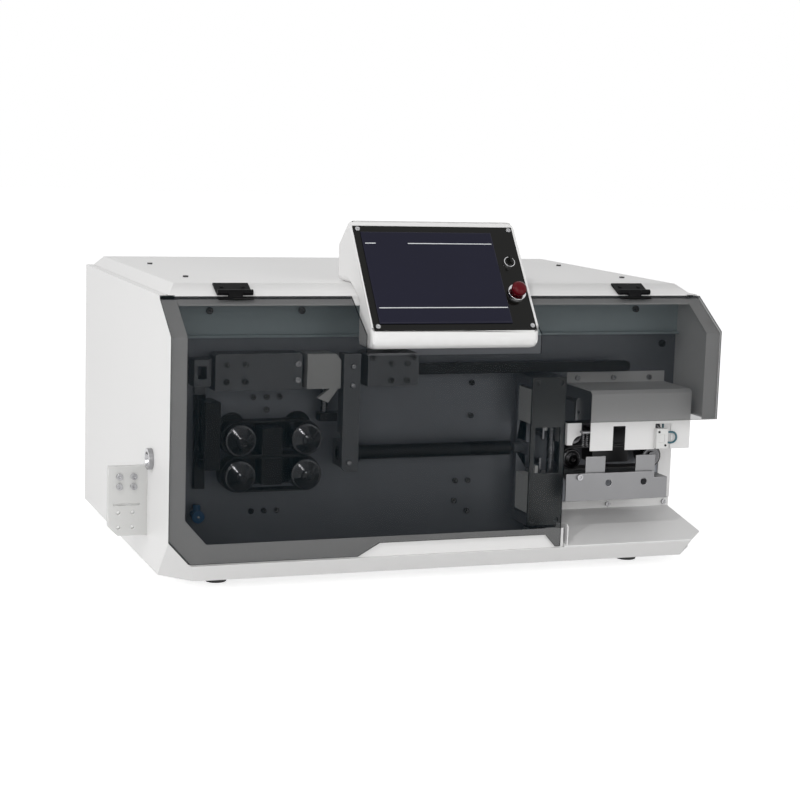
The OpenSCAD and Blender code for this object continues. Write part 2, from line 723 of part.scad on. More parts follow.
module cutter_front_plate() {
    color("dimgray") difference() {
        box(cx0, cx1, py - 63, py - 58, wz - 112, wz + 108);
        box(cx0 + 7, cx1 - 7, py - 70, py - 50, wz - 34, wz + 34);
        for (x = [cx0 + 8, cx1 - 8], z = [wz - 104, wz + 100])
            rod_y(x, z, py - 64, py - 60, 3.6);
    }
}
module carriage_shape(z0, z1) {
    difference() {
        box(cx0 + 1, cx1 - 1, py - 57, py - 12 - fit, z0, z1);
        box(cutter_x - 11 - fit, cutter_x + 11 + fit, py - 22 - fit, py, z0 - 1, z1 + 1);
        rod_z(screw_x, screw_y0, z0 - 1, z1 + 1, 6.4);
    }
}
module upper_carriage() {
    color("gainsboro") {
        carriage_shape(wz + 39, wz + 90);
        box(cutter_x + 0.2 + blade_t, cutter_x + 9, wy - 15, wy + 2, wz + 26, wz + 39);
    }
}
module lower_carriage() {
    color("gainsboro") {
        carriage_shape(wz - 94, wz - 39);
        box(cutter_x - 9, cutter_x - 0.2 - blade_t, wy - 15, wy + 2, wz - 39, wz - 26);
    }
}
module upper_blade() {
    color("silver") run_x(cutter_x + 0.2, cutter_x + 0.2 + blade_t, [[wy - 17, wz + 39], [wy + 4, wz + 39],
        [wy + 4, wz + 30], [wy + 13, wz + 24], [wy + 13, wz + 13], [wy, wz + 20], [wy - 15, wz + 12],
        [wy - 17, wz + 14]]);
}
module lower_blade() {
    color("silver") run_x(cutter_x - 0.2 - blade_t, cutter_x - 0.2, [[wy - 17, wz - 39], [wy + 4, wz - 39],
        [wy + 4, wz - 30], [wy + 13, wz - 24], [wy + 13, wz - 13], [wy, wz - 20], [wy - 15, wz - 12],
        [wy - 17, wz - 14]]);
}
module lead_screw() {
    color("silver") difference() {
        union() {
            rod_z(screw_x, screw_y0, belt_z, wz + 106, 6);
            rod_z(screw_x, screw_y0, belt_z, belt_z + 14, 14);
        }
        for (i = [0 : 7], s = [-1, 1])
            translate([screw_x, screw_y0, wz + s * (6 + i * 4)]) rotate_extrude()
                polygon([[5, -0.4], [7, -1.4], [7, 1.4], [5, 0.4]]);
    }
}
module cutter_motor() {
    my = pb + 32;
    color("darkslategray") {
        box(screw_x - 28, screw_x + 28, pb, pb + 60, belt_z + 20, belt_z + 96);
        rod_z(screw_x, my, belt_z, belt_z + 20, 14);
        difference() {
            union() {
                box(screw_x - 16, screw_x + 16, screw_y0, my, belt_z + 2, belt_z + 12);
                rod_z(screw_x, screw_y0, belt_z + 2, belt_z + 12, 16);
                rod_z(screw_x, my, belt_z + 2, belt_z + 12, 16);
            }
            box(screw_x - 14.3, screw_x + 14.3, screw_y0, my, belt_z, belt_z + 14);
            rod_z(screw_x, screw_y0, belt_z, belt_z + 14, 14.3);
        }
    }
}
// bent sheet that leads the wire from the cutter into the out-feed belts
module wire_scoop() {
    x0 = cx1 + 1;
    difference() {
        union() {
            box(x0, x0 + 2, py - 70, py, wz + 8, wz + 41);
            box(x0, guard_x0 - 5, py - 70, py - 68, wz + 8, wz + 41);
        }
        rod_y(guard_x0 - 5, wz + 8, py - 80, py - 60, 14);
    }
}
module outfeed_guard() {
    color("white") {
        difference() {
            run_x(guard_x0, guard_x1, [[py, wz + 107], [py - 2, wz + 107], [py - 2, wz + 91], [py - 85, wz + 91],
                [py - 90, wz + 86], [py - 90, wz + 2], [py - 88, wz + 2], [py - 88, wz + 85], [py - 84, wz + 89],
                [py, wz + 89]]);
            box(out_x - 24, out_x - 4, py - 95, py - 80, wz, wz + 38);
            box(out_x + 45, out_x + 71, py - 95, py - 80, wz, wz + 40);
        }
        wire_scoop();
    }
}
// round-ended lever on a stub shaft beside the upper out-feed belt
module press_lever() {
    x = guard_x0 - 8;
    rod_y(x, wz + 72, py - 58, py, 3);
    difference() {
        union() {
            box(x - 5, x + 5, py - 64, py - 58, wz + 44, wz + 72);
            rod_y(x, wz + 72, py - 64, py - 58, 5);
        }
        rod_y(x, wz + 56, py - 65, py - 57, 2);
    }
}
module outfeed_bracket() {
    color("silver") {
        difference() {
            union() {
                box(out_x - 97, out_x + 69, py - 90, py - 87, wz - 72, wz - 40);
                box(out_x - 97, out_x + 47, py - 90, py - 87, wz - 42, wz - 31);
            }
            rod_y(out_x - 28, wz - 46, py - 95, py - 80, 5);
            rod_y(out_x + 30, wz - 46, py - 95, py - 80, 5);
        }
        box(out_x - 88, out_x + 69, py - 87, py, wz - 43, wz - 40);
        box(out_x + 66, out_x + 69, py - 87, py, wz - 72, wz - 43);
        for (x = [out_x - 64, out_x + 18])
            box(x, x + 32, py - 85, py - 82, wz - 40, wz - 7);
        box(out_x - 30, out_x + 30, py - 36, py, wz - out_c - 8, wz - out_c + out_r + fit);
        box(out_x - 30, out_x + 30, py - 36, py, wz + out_c - out_r - fit, wz + out_c + 8);
        press_lever();
    }
}
module out_pulley(x, z) {
    translate([x, py, z]) rotate([90, 0, 0]) rotate_extrude()
        polygon([[0, -28], [6, -28], [6, 12], [out_r, 12], [out_r, 40], [out_r - 2, 42], [8, 42], [8, 47], [3, 47],
            [3, 42], [0, 42]]);
}
module outfeed_pulley_lower_left() {
    color("black") out_pulley(out_x - out_dx, wz - out_c);
}
module outfeed_pulley_lower_right() {
    color("black") out_pulley(out_x + out_dx, wz - out_c);
}
module outfeed_pulley_upper_left() {
    color("black") out_pulley(out_x - out_dx, wz + out_c);
}
module outfeed_pulley_upper_right() {
    color("black") out_pulley(out_x + out_dx, wz + out_c);
}
module outfeed_belts() {
    color("dimgray") {
        for (z = [wz - out_c, wz + out_c])
            belt(out_x - out_dx, out_x + out_dx, z, out_r, py - 39, py - 14);
    }
}
module outfeed_motor() {
    color("darkslategray") motor_body(out_x + out_dx, wz - out_c, pb, 76, 6.6);
}
module exit_sensor() {
    color("white") difference() {
        box(out_x + 43, out_x + 62, py - 99, py - 90, wz + 4, wz + 34);
        box(out_x + 48, out_x + 57, py - 100, py - 97, wz + 13, wz + 25);
    }
}
module tray() {
    z1 = zb + 49;
    z0 = zb + strip_h;
    color("white") difference() {
        union() {
            run_x(outlet_x + 12, outlet_x + 14, [[front + 4, z0 + 1], [front + 44, z0 + 8.5], [front + 44, z0 + 27],
                [front + 8, z0 + 32], [front + 4, z0 + 29]]);
            run_x(outlet_x + 7, right - 2, [[py, zb + 63], [py - 2, zb + 63], [py - 2, z1 + 2], [front + 1, z0 + 2],
                [front + 1, z0], [front + 3, z0], [py, z1]]);
        }
        mirror([1, 0, 0]) corner_cut();
        box(outlet_x, cx1 + 2, py - 66, py + 1, zb, zb + 80);
        for (x = [outlet_x + 43, outlet_x + 139, right - 10])
            rod_y(x, zb + 57, py - 3, py + 1, 2);
    }
}
module controller_box() {
    color("lightsteelblue") {
        box(-70, 150, rear - 150, rear - 40, zb + sheet, zb + 190);
        for (x = [-50 : 40 : 120])
            box(x, x + 24, rear - 156, rear - 150, zb + 30, zb + 150);
    }
}
module power_inlet() {
    color("black") difference() {
        union() {
            box(power_x, power_x + 68, rear, rear + 3, zb + 35, zb + 93);
            box(power_x + 5, power_x + 63, rear - 32, rear, zb + 40, zb + 88);
        }
        box(power_x + 13, power_x + 43, rear - 12, rear + 4, zb + 46, zb + 82);
        box(power_x + 49, power_x + 58, rear - 1, rear + 4, zb + 52, zb + 76);
    }
}

placed() base_pan();
placed() left_side_panel();
placed() right_side_panel();
placed() rear_panel();
placed() top_panel();
placed() front_frame();
placed() mounting_plate();
placed() upper_fascia();
placed() feet();
placed() plate_screws();
placed() panel_screws();
placed() hmi_box();
placed() hmi_plate();
placed() touch_panel();
placed() switch_collars();
placed() key_switch();
placed() stop_button();
placed() cover();
placed() hinge_fixed_leaves();
placed() hinge_moving_leaves();
placed() inlet_bushing();
placed() inlet_bracket();
placed() infeed_clamp_plate();
placed() infeed_lower_carrier();
placed() infeed_upper_carrier();
placed() infeed_pulley_lower_left();
placed() infeed_pulley_lower_right();
placed() infeed_pulley_upper_left();
placed() infeed_pulley_upper_right();
placed() infeed_lower_belt();
placed() infeed_upper_belt();
placed() infeed_lower_motor();
placed() infeed_upper_motor();
placed() air_fitting();
placed() guide_rail();
placed() rail_clamp();
placed() lift_cylinder();
placed() lift_rod();
placed() tube_arm();
placed() guide_tube();
placed() cutter_base();
placed() cutter_front_plate();
placed() upper_carriage();
placed() lower_carriage();
placed() upper_blade();
placed() lower_blade();
placed() lead_screw();
placed() cutter_motor();
placed() outfeed_guard();
placed() outfeed_bracket();
placed() outfeed_pulley_lower_left();
placed() outfeed_pulley_lower_right();
placed() outfeed_pulley_upper_left();
placed() outfeed_pulley_upper_right();
placed() outfeed_belts();
placed() outfeed_motor();
placed() exit_sensor();
placed() tray();
placed() controller_box();
placed() power_inlet();
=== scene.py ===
import json
import math

import bmesh
import bpy
from bpy.props import FloatProperty, FloatVectorProperty, IntProperty, PointerProperty
from mathutils import Matrix, Vector


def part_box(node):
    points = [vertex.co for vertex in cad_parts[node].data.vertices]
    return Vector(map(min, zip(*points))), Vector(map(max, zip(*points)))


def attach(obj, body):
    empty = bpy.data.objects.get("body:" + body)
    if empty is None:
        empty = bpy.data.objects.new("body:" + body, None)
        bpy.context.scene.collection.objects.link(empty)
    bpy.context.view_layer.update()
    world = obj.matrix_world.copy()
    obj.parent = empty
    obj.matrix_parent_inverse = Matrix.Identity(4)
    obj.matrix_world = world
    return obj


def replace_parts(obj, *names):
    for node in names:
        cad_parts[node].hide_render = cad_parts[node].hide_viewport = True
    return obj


bl_info = {
    "name": "Wire stripping machine",
    "version": (1, 0, 0),
    "blender": (4, 5, 0),
    "location": "3D View > Sidebar > Wire machine",
    "description": "Finishes and small pieces of a bench wire cutting and stripping machine",
    "category": "Object",
}

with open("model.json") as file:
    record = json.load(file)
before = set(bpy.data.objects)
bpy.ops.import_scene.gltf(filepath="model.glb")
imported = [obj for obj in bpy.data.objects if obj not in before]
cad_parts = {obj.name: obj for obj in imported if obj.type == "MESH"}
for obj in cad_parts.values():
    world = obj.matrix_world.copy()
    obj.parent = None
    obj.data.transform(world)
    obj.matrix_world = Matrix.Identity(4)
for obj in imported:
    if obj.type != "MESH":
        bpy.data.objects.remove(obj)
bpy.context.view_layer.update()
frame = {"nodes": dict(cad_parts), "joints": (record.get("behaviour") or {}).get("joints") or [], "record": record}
NODES = frame["nodes"]
JOINTS = {j["name"]: j for j in frame["joints"]}
BODY_OF = {n: b for b, names in frame["record"]["behaviour"]["bodies"].items() for n in names}
SLOT_OF = {s["node"]: s["material_slot"] for s in frame["record"]["subparts"]}
MM = 0.001

# merging of CAD triangles, and the angle from which an edge stays sharp
MERGE_DISTANCE = 2e-6
FLAT_ANGLE = math.radians(0.4)
SHARP_ANGLE = math.radians(50.0)

# rounding of the edges of single kinds of pieces, in metres
FOOT_EDGE = 0.0012
MOULDED_EDGE = 0.0008
COVER_EDGE = 0.0007
CASE_EDGE = 0.0006
TURNED_EDGE = 0.0005
THIN_EDGE = 0.0004
BLADE_EDGE = 0.00015

# skin of the finishes: depth of the bump, roughness of a clear coat, and the noise that changes the gloss
BUMP_DEPTH = 0.0004
COAT_ROUGHNESS = 0.06
NOISE_LOW = 0.3
NOISE_HIGH = 0.7

# stage: level of the world as light, and how far the ground is lifted for the eye
AMBIENT_LEVEL = 0.42
GROUND_LIFT = 0.74

# lamps: name, place, aim, diameter in metres and power in watts
LAMPS = (
    ("key_light", (-1.5, -3.2, 1.2), (0.0, -0.2, 0.25), 1.6, 29.0),
    ("side_light", (-3.2, 0.2, 1.3), (0.0, 0.0, 0.25), 1.6, 22.0),
    ("spark_light", (-1.575, -1.865, 2.49), (-0.1, -0.2, 0.2), 0.09, 17.0),
    ("fill_light", (1.2, -3.1, 0.8), (0.1, -0.2, 0.2), 2.0, 20.0),
    ("top_light", (0.1, 1.9, 2.1), (0.0, 0.1, 0.4), 2.0, 3.0),
)

# camera fitted to the photograph: place in mm, turns, and focal length in pixels of a picture of this width
CAMERA_PLACE = (-942.3, -2673.7, 636.5)
CAMERA_YAW = 0.355493
CAMERA_PITCH = 0.145587
CAMERA_ROLL = 0.031905
FOCAL_PIXELS = 1860.8
PICTURE_PIXELS = 800.0
SENSOR_WIDTH = 36.0

# operator face: lower middle point, and the tilt of its slope from level
FACE_POINT = Vector((19.5, -303.5, 358.0)) * MM
FACE_TILT = math.radians(52.0)


# Sizes and colours that a user may change

def length(name, description, default):
    return FloatProperty(name=name, description=description, default=default, unit="LENGTH", precision=5)


def colour(name, description, default):
    return FloatVectorProperty(name=name, description=description, default=default, size=3,
                               subtype="COLOR", min=0.0, max=1.0)


class WireMachineSizes(bpy.types.PropertyGroup):
    sheet_edge: length("Sheet edge", "Rounding of the edges of bent sheet", 0.0006)
    block_edge: length("Block edge", "Rounding of the edges of milled blocks", 0.0008)
    fine_edge: length("Fine edge", "Rounding of the edges of small turned and moulded parts", 0.0003)
    box_corner: length("Operator box corner", "Radius of the corners of the operator box", 0.009)
    rib_pitch: length("Belt rib pitch", "Distance from rib to rib along the feed belts", 0.004)
    rib_height: length("Belt rib height", "Height of the ribs of the feed belts", 0.0003)
    line_width: length("Screen line", "Width of the two pale lines on the touch panel", 0.0013)
    lead_diameter: length("Sensor lead", "Diameter of the lead of the exit sensor", 0.003)
    spring_turns: IntProperty(name="Spring turns", description="Turns of the two press springs",
                              default=7, min=3)


class WireMachineColours(bpy.types.PropertyGroup):
    cabinet: colour("Cabinet", "Powder coat of the cabinet", (0.80, 0.795, 0.79))
    plate: colour("Mounting plate", "Anodised plate behind the mechanism", (0.188, 0.196, 0.215))
    fascia: colour("Fascia", "Painted strip above the mounting plate", (0.44, 0.52, 0.54))
    cover: colour("Cover", "Smoke tint of the hinged cover", (0.002, 0.0055, 0.008))
    screen: colour("Touch panel", "Dark face of the touch panel", (0.013, 0.013, 0.026))
    button: colour("Stop button", "Red of the stop button", (0.095, 0.001, 0.005))
    fitting: colour("Air fitting", "Blue of the push-in fitting", (0.035, 0.13, 0.27))


# Shader node groups that several finishes share

def new_group(name, sockets_in, sockets_out):
    """Shader node group with its sockets, and its two end nodes."""
    group = bpy.data.node_groups.new(name, "ShaderNodeTree")
    for socket, kind, default in sockets_in:
        made = group.interface.new_socket(socket, in_out="INPUT", socket_type=kind)
        made.default_value = default
    for socket, kind in sockets_out:
        group.interface.new_socket(socket, in_out="OUTPUT", socket_type=kind)
    return group, group.nodes.new("NodeGroupInput"), group.nodes.new("NodeGroupOutput")


def skin_group():
    """Fine surface height and slow changes of tone, both on Object coordinates."""
    found = bpy.data.node_groups.get("surface_skin")
    if found:
        return found
    group, start, end = new_group(
        "surface_skin",
        [("Peel Scale", "NodeSocketFloat", 900.0), ("Tone Scale", "NodeSocketFloat", 9.0)],
        [("Height", "NodeSocketFloat"), ("Tone", "NodeSocketFloat")],
    )
    place = group.nodes.new("ShaderNodeTexCoord")
    for source, detail, socket in (("Peel Scale", 2.0, "Height"), ("Tone Scale", 5.0, "Tone")):
        noise = group.nodes.new("ShaderNodeTexNoise")
        noise.inputs["Detail"].default_value = detail
        group.links.new(place.outputs["Object"], noise.inputs["Vector"])
        group.links.new(start.outputs[source], noise.inputs["Scale"])
        group.links.new(noise.outputs["Fac"], end.inputs[socket])
    return group


def grain_group():
    """Long drawn-out noise for brushed and turned metal."""
    found = bpy.data.node_groups.get("brushed_grain")
    if found:
        return found
    group, start, end = new_group(
        "brushed_grain",
        [("Stretch", "NodeSocketVector", (20.0, 900.0, 900.0))],
        [("Streak", "NodeSocketFloat")],
    )
    place = group.nodes.new("ShaderNodeTexCoord")
    mapping = group.nodes.new("ShaderNodeMapping")
    noise = group.nodes.new("ShaderNodeTexNoise")
    noise.inputs["Scale"].default_value = 1.0
    noise.inputs["Detail"].default_value = 3.0
    group.links.new(place.outputs["Object"], mapping.inputs["Vector"])
    group.links.new(start.outputs["Stretch"], mapping.inputs["Scale"])
    group.links.new(mapping.outputs["Vector"], noise.inputs["Vector"])
    group.links.new(noise.outputs["Fac"], end.inputs["Streak"])
    return group


def wear_and_highlight_group():
    """Mask of rubbed edges, which on the black screws carries painted highlight: the rounded edges of a piece,
    broken up by noise.
    """
    found = bpy.data.node_groups.get("edge_wear_and_highlight")
    if found:
        return found
    group, start, end = new_group(
        "edge_wear_and_highlight",
        [("Amount", "NodeSocketFloat", 0.5)],
        [("Mask", "NodeSocketFloat")],
    )
    place = group.nodes.new("ShaderNodeTexCoord")
    edge = group.nodes.new("ShaderNodeAttribute")
    edge.attribute_name = "edge"
    noise = group.nodes.new("ShaderNodeTexNoise")
    noise.inputs["Scale"].default_value = 70.0
    noise.inputs["Detail"].default_value = 6.0
    spread = group.nodes.new("ShaderNodeMapRange")
    spread.inputs["From Min"].default_value = 0.42
    spread.inputs["From Max"].default_value = 0.62
    first = group.nodes.new("ShaderNodeMath")
    first.operation = "MULTIPLY"
    second = group.nodes.new("ShaderNodeMath")
    second.operation = "MULTIPLY"
    group.links.new(place.outputs["Object"], noise.inputs["Vector"])
    group.links.new(noise.outputs["Fac"], spread.inputs["Value"])
    group.links.new(spread.outputs["Result"], first.inputs[0])
    group.links.new(edge.outputs["Fac"], first.inputs[1])
    group.links.new(first.outputs["Value"], second.inputs[0])
    group.links.new(start.outputs["Amount"], second.inputs[1])
    group.links.new(second.outputs["Value"], end.inputs["Mask"])
    return group


# Finishes

def scaled(rgb, factor):
    """Colour made darker or lighter, with full alpha."""
    return tuple(min(1.0, c * factor) for c in rgb[:3]) + (1.0,)


def finish(name, rgb, rough, metallic=0.0, tone=0.06, spread=0.05, peel=(900.0, 0.06), tone_scale=9.0,
           grain=None, wear_and_highlight=None, coat=0.0, specular=0.5, alpha=1.0, rim=None, rings=0.0):
    """Material with changing tone and gloss and a bumped skin; grain, lathe rings and an edge colour where asked,
    the edge colour being wear on most finishes and painted highlight on the black screws.
    """
    found = bpy.data.materials.get(name + "_finish")
    if found:
        return found
    mat = bpy.data.materials.new(name + "_finish")
    mat.use_nodes = True
    tree = mat.node_tree
    nodes, links = tree.nodes, tree.links
    shader = nodes["Principled BSDF"]
    shader.inputs["Metallic"].default_value = metallic
    shader.inputs["Specular IOR Level"].default_value = specular
    shader.inputs["Coat Weight"].default_value = coat
    shader.inputs["Coat Roughness"].default_value = COAT_ROUGHNESS
    shader.inputs["Alpha"].default_value = alpha

    skin = nodes.new("ShaderNodeGroup")
    skin.node_tree = skin_group()
    skin.inputs["Peel Scale"].default_value = peel[0]
    skin.inputs["Tone Scale"].default_value = tone_scale
    pattern, height = skin.outputs["Tone"], skin.outputs["Height"]
    if grain:
        brushed = nodes.new("ShaderNodeGroup")
        brushed.node_tree = grain_group()
        brushed.inputs["Stretch"].default_value = grain
        pattern = height = brushed.outputs["Streak"]
    if rings:
        radius = nodes.new("ShaderNodeAttribute")
        radius.attribute_name = "turned_radius"
        turns = nodes.new("ShaderNodeMath")
        turns.operation = "MULTIPLY"
        turns.inputs[1].default_value = 2 * math.pi / rings
        wave = nodes.new("ShaderNodeMath")
        wave.operation = "SINE"
        links.new(radius.outputs["Fac"], turns.inputs[0])
        links.new(turns.outputs["Value"], wave.inputs[0])
        height = wave.outputs["Value"]

    shade = nodes.new("ShaderNodeMix")
    shade.data_type = "RGBA"
    shade.inputs[6].default_value = scaled(rgb, 1 - tone)
    shade.inputs[7].default_value = scaled(rgb, 1 + tone)
    links.new(pattern, shade.inputs[0])
    result = shade.outputs[2]
    if wear_and_highlight:
        wear_and_highlight_node = nodes.new("ShaderNodeGroup")
        wear_and_highlight_node.node_tree = wear_and_highlight_group()
        wear_and_highlight_node.inputs["Amount"].default_value = wear_and_highlight[1]
        over = nodes.new("ShaderNodeMix")
        over.data_type = "RGBA"
        over.inputs[7].default_value = tuple(wear_and_highlight[0]) + (1.0,)
        links.new(wear_and_highlight_node.outputs["Mask"], over.inputs[0])
        links.new(result, over.inputs[6])
        result = over.outputs[2]
    links.new(result, shader.inputs["Base Color"])

    gloss = nodes.new("ShaderNodeMapRange")
    gloss.inputs["From Min"].default_value = NOISE_LOW
    gloss.inputs["From Max"].default_value = NOISE_HIGH
    gloss.inputs["To Min"].default_value = max(0.02, rough - spread)
    gloss.inputs["To Max"].default_value = rough + spread
    links.new(pattern, gloss.inputs["Value"])
    links.new(gloss.outputs["Result"], shader.inputs["Roughness"])

    if rim is not None:
        thin = nodes.new("ShaderNodeAttribute")
        thin.attribute_name = "rim"
        solid = nodes.new("ShaderNodeMapRange")
        solid.inputs["To Min"].default_value = alpha
        solid.inputs["To Max"].default_value = rim
        links.new(thin.outputs["Fac"], solid.inputs["Value"])
        links.new(solid.outputs["Result"], shader.inputs["Alpha"])

    bump = nodes.new("ShaderNodeBump")
    bump.inputs["Strength"].default_value = peel[1]
    bump.inputs["Distance"].default_value = BUMP_DEPTH
    links.new(height, bump.inputs["Height"])
    links.new(bump.outputs["Normal"], shader.inputs["Normal"])
    return mat


def finish_for(slot):
    """Finish of a material slot of the record, or of a piece that has a finish of its own."""
    c = bpy.context.scene.wire_machine_colours
    finishes = {
        "cabinet_white": dict(
            name="cabinet_powder_coat", rgb=c.cabinet, rough=0.46, tone=0.025, peel=(1100.0, 0.10),
            tone_scale=5.0, specular=0.35, wear_and_highlight=((0.86, 0.86, 0.86), 0.35)),
        "plate_grey": dict(
            name="anodised_plate", rgb=c.plate, rough=0.40, metallic=0.35, tone=0.10, spread=0.08,
            grain=(14.0, 500.0, 700.0), peel=(900.0, 0.05), wear_and_highlight=((0.32, 0.33, 0.34), 0.6)),
        "fascia_grey": dict(
            name="fascia_paint", rgb=c.fascia, rough=0.38, tone=0.06, wear_and_highlight=((0.42, 0.46, 0.48), 0.5)),
        "rubber_black": dict(
            name="black_rubber", rgb=(0.022, 0.022, 0.023), rough=0.62, tone=0.25, spread=0.10,
            peel=(600.0, 0.25), tone_scale=60.0),
        "screw_steel": dict(
            name="screw_steel", rgb=(0.36, 0.36, 0.37), rough=0.30, metallic=0.9, tone=0.12,
            tone_scale=200.0, wear_and_highlight=((0.7, 0.7, 0.7), 0.7)),
        # The pale edge colour of the black screws is painted highlight: bright rims that stand for reflections on
        # the screw heads.
        "screw_black": dict(
            name="black_oxide_screws", rgb=(0.035, 0.035, 0.036), rough=0.22, metallic=0.4, tone=0.15,
            tone_scale=200.0, wear_and_highlight=((0.62, 0.62, 0.62), 0.9)),
        "panel_black": dict(
            name="black_gloss_panel", rgb=(0.006, 0.006, 0.0055), rough=0.10, tone=0.10, spread=0.03,
            peel=(300.0, 0.01), specular=0.16, tone_scale=14.0),
        "screen_navy": dict(
            name="touch_panel_face", rgb=c.screen, rough=0.16, tone=0.08, spread=0.04, peel=(400.0, 0.01),
            specular=0.10, tone_scale=12.0),
        "chrome": dict(
            name="bright_chrome", rgb=(0.62, 0.62, 0.63), rough=0.14, metallic=1.0, tone=0.04, spread=0.04,
            peel=(500.0, 0.01), tone_scale=80.0),
        "stop_red": dict(
            name="red_button", rgb=c.button, rough=0.20, tone=0.10, spread=0.04, peel=(500.0, 0.01),
            specular=0.14, tone_scale=60.0),
        "smoked_acrylic": dict(
            name="smoked_acrylic", rgb=c.cover, rough=0.06, tone=0.10, spread=0.03, peel=(60.0, 0.004),
            specular=0.06, alpha=0.34, rim=0.80, tone_scale=8.0),
        "hinge_black": dict(
            name="black_hinge_paint", rgb=(0.006, 0.006, 0.0065), rough=0.40, tone=0.2, tone_scale=60.0,
            specular=0.04, wear_and_highlight=((0.05, 0.05, 0.05), 0.7)),
        "light_alloy": dict(
            name="bead_blasted_alloy", rgb=(0.58, 0.58, 0.57), rough=0.46, metallic=0.35, tone=0.05,
            spread=0.05, peel=(2200.0, 0.16), wear_and_highlight=((0.80, 0.80, 0.80), 0.5)),
        "dark_alloy": dict(
            name="dark_anodised_alloy", rgb=(0.125, 0.128, 0.135), rough=0.38, metallic=0.4, tone=0.08,
            spread=0.06, peel=(1800.0, 0.10), wear_and_highlight=((0.36, 0.36, 0.37), 0.7)),
        "black_alloy": dict(
            name="black_anodised_alloy", rgb=(0.014, 0.014, 0.015), rough=0.30, metallic=0.1, tone=0.15,
            spread=0.06, peel=(1800.0, 0.08), specular=0.22, wear_and_highlight=((0.10, 0.10, 0.10), 0.7)),
        "turned_black": dict(
            name="turned_black_alloy", rgb=(0.11, 0.11, 0.114), rough=0.18, metallic=1.0, tone=0.12,
            spread=0.02, peel=(900.0, 0.004), rings=0.0009, tone_scale=60.0, wear_and_highlight=((0.25, 0.25, 0.255), 0.3)),
        "motor_black": dict(
            name="motor_enamel", rgb=(0.020, 0.020, 0.021), rough=0.45, tone=0.15, tone_scale=40.0),
        "fitting_blue": dict(
            name="blue_fitting", rgb=c.fitting, rough=0.22, tone=0.08, tone_scale=60.0, coat=0.3),
        # The dark grey of the blades is painted shade: the steel is darkened because the window of the cutter lies
        # in shadow.
        "blade_steel": dict(
            name="shade_darkened_blade_steel", rgb=(0.19, 0.19, 0.20), rough=0.26, metallic=1.0, tone=0.06,
            spread=0.08, grain=(900.0, 40.0, 900.0), peel=(900.0, 0.06)),
        "zinc_steel": dict(
            name="zinc_plated_steel", rgb=(0.205, 0.205, 0.21), rough=0.34, metallic=0.75, tone=0.08,
            spread=0.05, peel=(700.0, 0.02), tone_scale=30.0, wear_and_highlight=((0.55, 0.55, 0.56), 0.5)),
        "sensor_white": dict(
            name="white_moulding", rgb=(0.74, 0.74, 0.73), rough=0.38, tone=0.03, tone_scale=40.0,
            peel=(2000.0, 0.05)),
        "electronics_grey": dict(
            name="controller_casing", rgb=(0.30, 0.32, 0.35), rough=0.5, tone=0.06),
        "screen_line": dict(
            name="screen_line_print", rgb=(0.72, 0.74, 0.76), rough=0.4, tone=0.05, tone_scale=90.0),
        "carriage_face": dict(
            name="pale_carriage_alloy", rgb=(0.86, 0.86, 0.84), rough=0.46, metallic=0.1, tone=0.05,
            spread=0.05, peel=(2200.0, 0.16)),
        "lift_block": dict(
            name="grey_lift_block", rgb=(0.45, 0.45, 0.44), rough=0.46, metallic=0.35, tone=0.05,
            spread=0.05, peel=(2200.0, 0.16), wear_and_highlight=((0.80, 0.80, 0.80), 0.5)),
        # The dark base of this chrome is a painted reflection: it stands for dark surroundings mirrored in the
        # inlet bushing.
        "inlet_chrome": dict(
            name="reflection_darkened_chrome", rgb=(0.36, 0.36, 0.37), rough=0.16, metallic=1.0, tone=0.04, spread=0.04,
            peel=(500.0, 0.01), tone_scale=80.0),
        "cutter_front": dict(
            name="dark_cutter_front", rgb=(0.058, 0.060, 0.060), rough=0.40, metallic=0.3, tone=0.10,
            spread=0.08, grain=(700.0, 500.0, 14.0), peel=(900.0, 0.05), wear_and_highlight=((0.32, 0.33, 0.34), 0.6)),
        "ground_rod": dict(
            name="ground_rod_steel", rgb=(0.13, 0.13, 0.135), rough=0.25, metallic=0.9, tone=0.06,
            tone_scale=80.0),
        "lead_teal": dict(
            name="sensor_lead_jacket", rgb=(0.02, 0.10, 0.13), rough=0.42, tone=0.12, tone_scale=120.0),
    }
    return finish(**finishes[slot])


# Making pieces

def add_piece(name, bm, body, slot, material=None):
    """Mesh piece at the origin, smooth with even normals, riding on a body."""
    mesh = bpy.data.meshes.new(name)
    bm.to_mesh(mesh)
    bm.free()
    mesh.materials.append(material or finish_for(slot))
    obj = bpy.data.objects.new(name, mesh)
    bpy.context.scene.collection.objects.link(obj)
    for poly in mesh.polygons:
        poly.use_smooth = True
    mesh.set_sharp_from_angle(angle=SHARP_ANGLE)
    even = obj.modifiers.new("even_normals", "WEIGHTED_NORMAL")
    even.keep_sharp = True
    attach(obj, body)
    return obj


def merged_copy(node):
    """Merged copy of a CAD node's triangles, with flat areas joined."""
    bm = bmesh.new()
    bm.from_mesh(NODES[node].data)
    bmesh.ops.remove_doubles(bm, verts=bm.verts, dist=MERGE_DISTANCE)
    bmesh.ops.dissolve_limit(bm, angle_limit=FLAT_ANGLE, verts=bm.verts, edges=bm.edges, delimit=set())
    return bm


def hard_edges(bm, angle=36.0):
    """Edges whose two faces meet at more than an angle in degrees."""
    limit = math.radians(angle)
    return [e for e in bm.edges if len(e.link_faces) == 2 and e.calc_face_angle(0.0) > limit]


def round_edges(bm, edges, width, segments=2):
    """Rounds edges and marks the new faces in the edge attribute."""
    layer = bm.faces.layers.float.get("edge") or bm.faces.layers.float.new("edge")
    made = bmesh.ops.bevel(bm, geom=edges, offset=width, offset_type="OFFSET", segments=segments, profile=0.5,
                           affect="EDGES", material=-1, clamp_overlap=False)
    for face in made["faces"]:
        face[layer] = 1.0


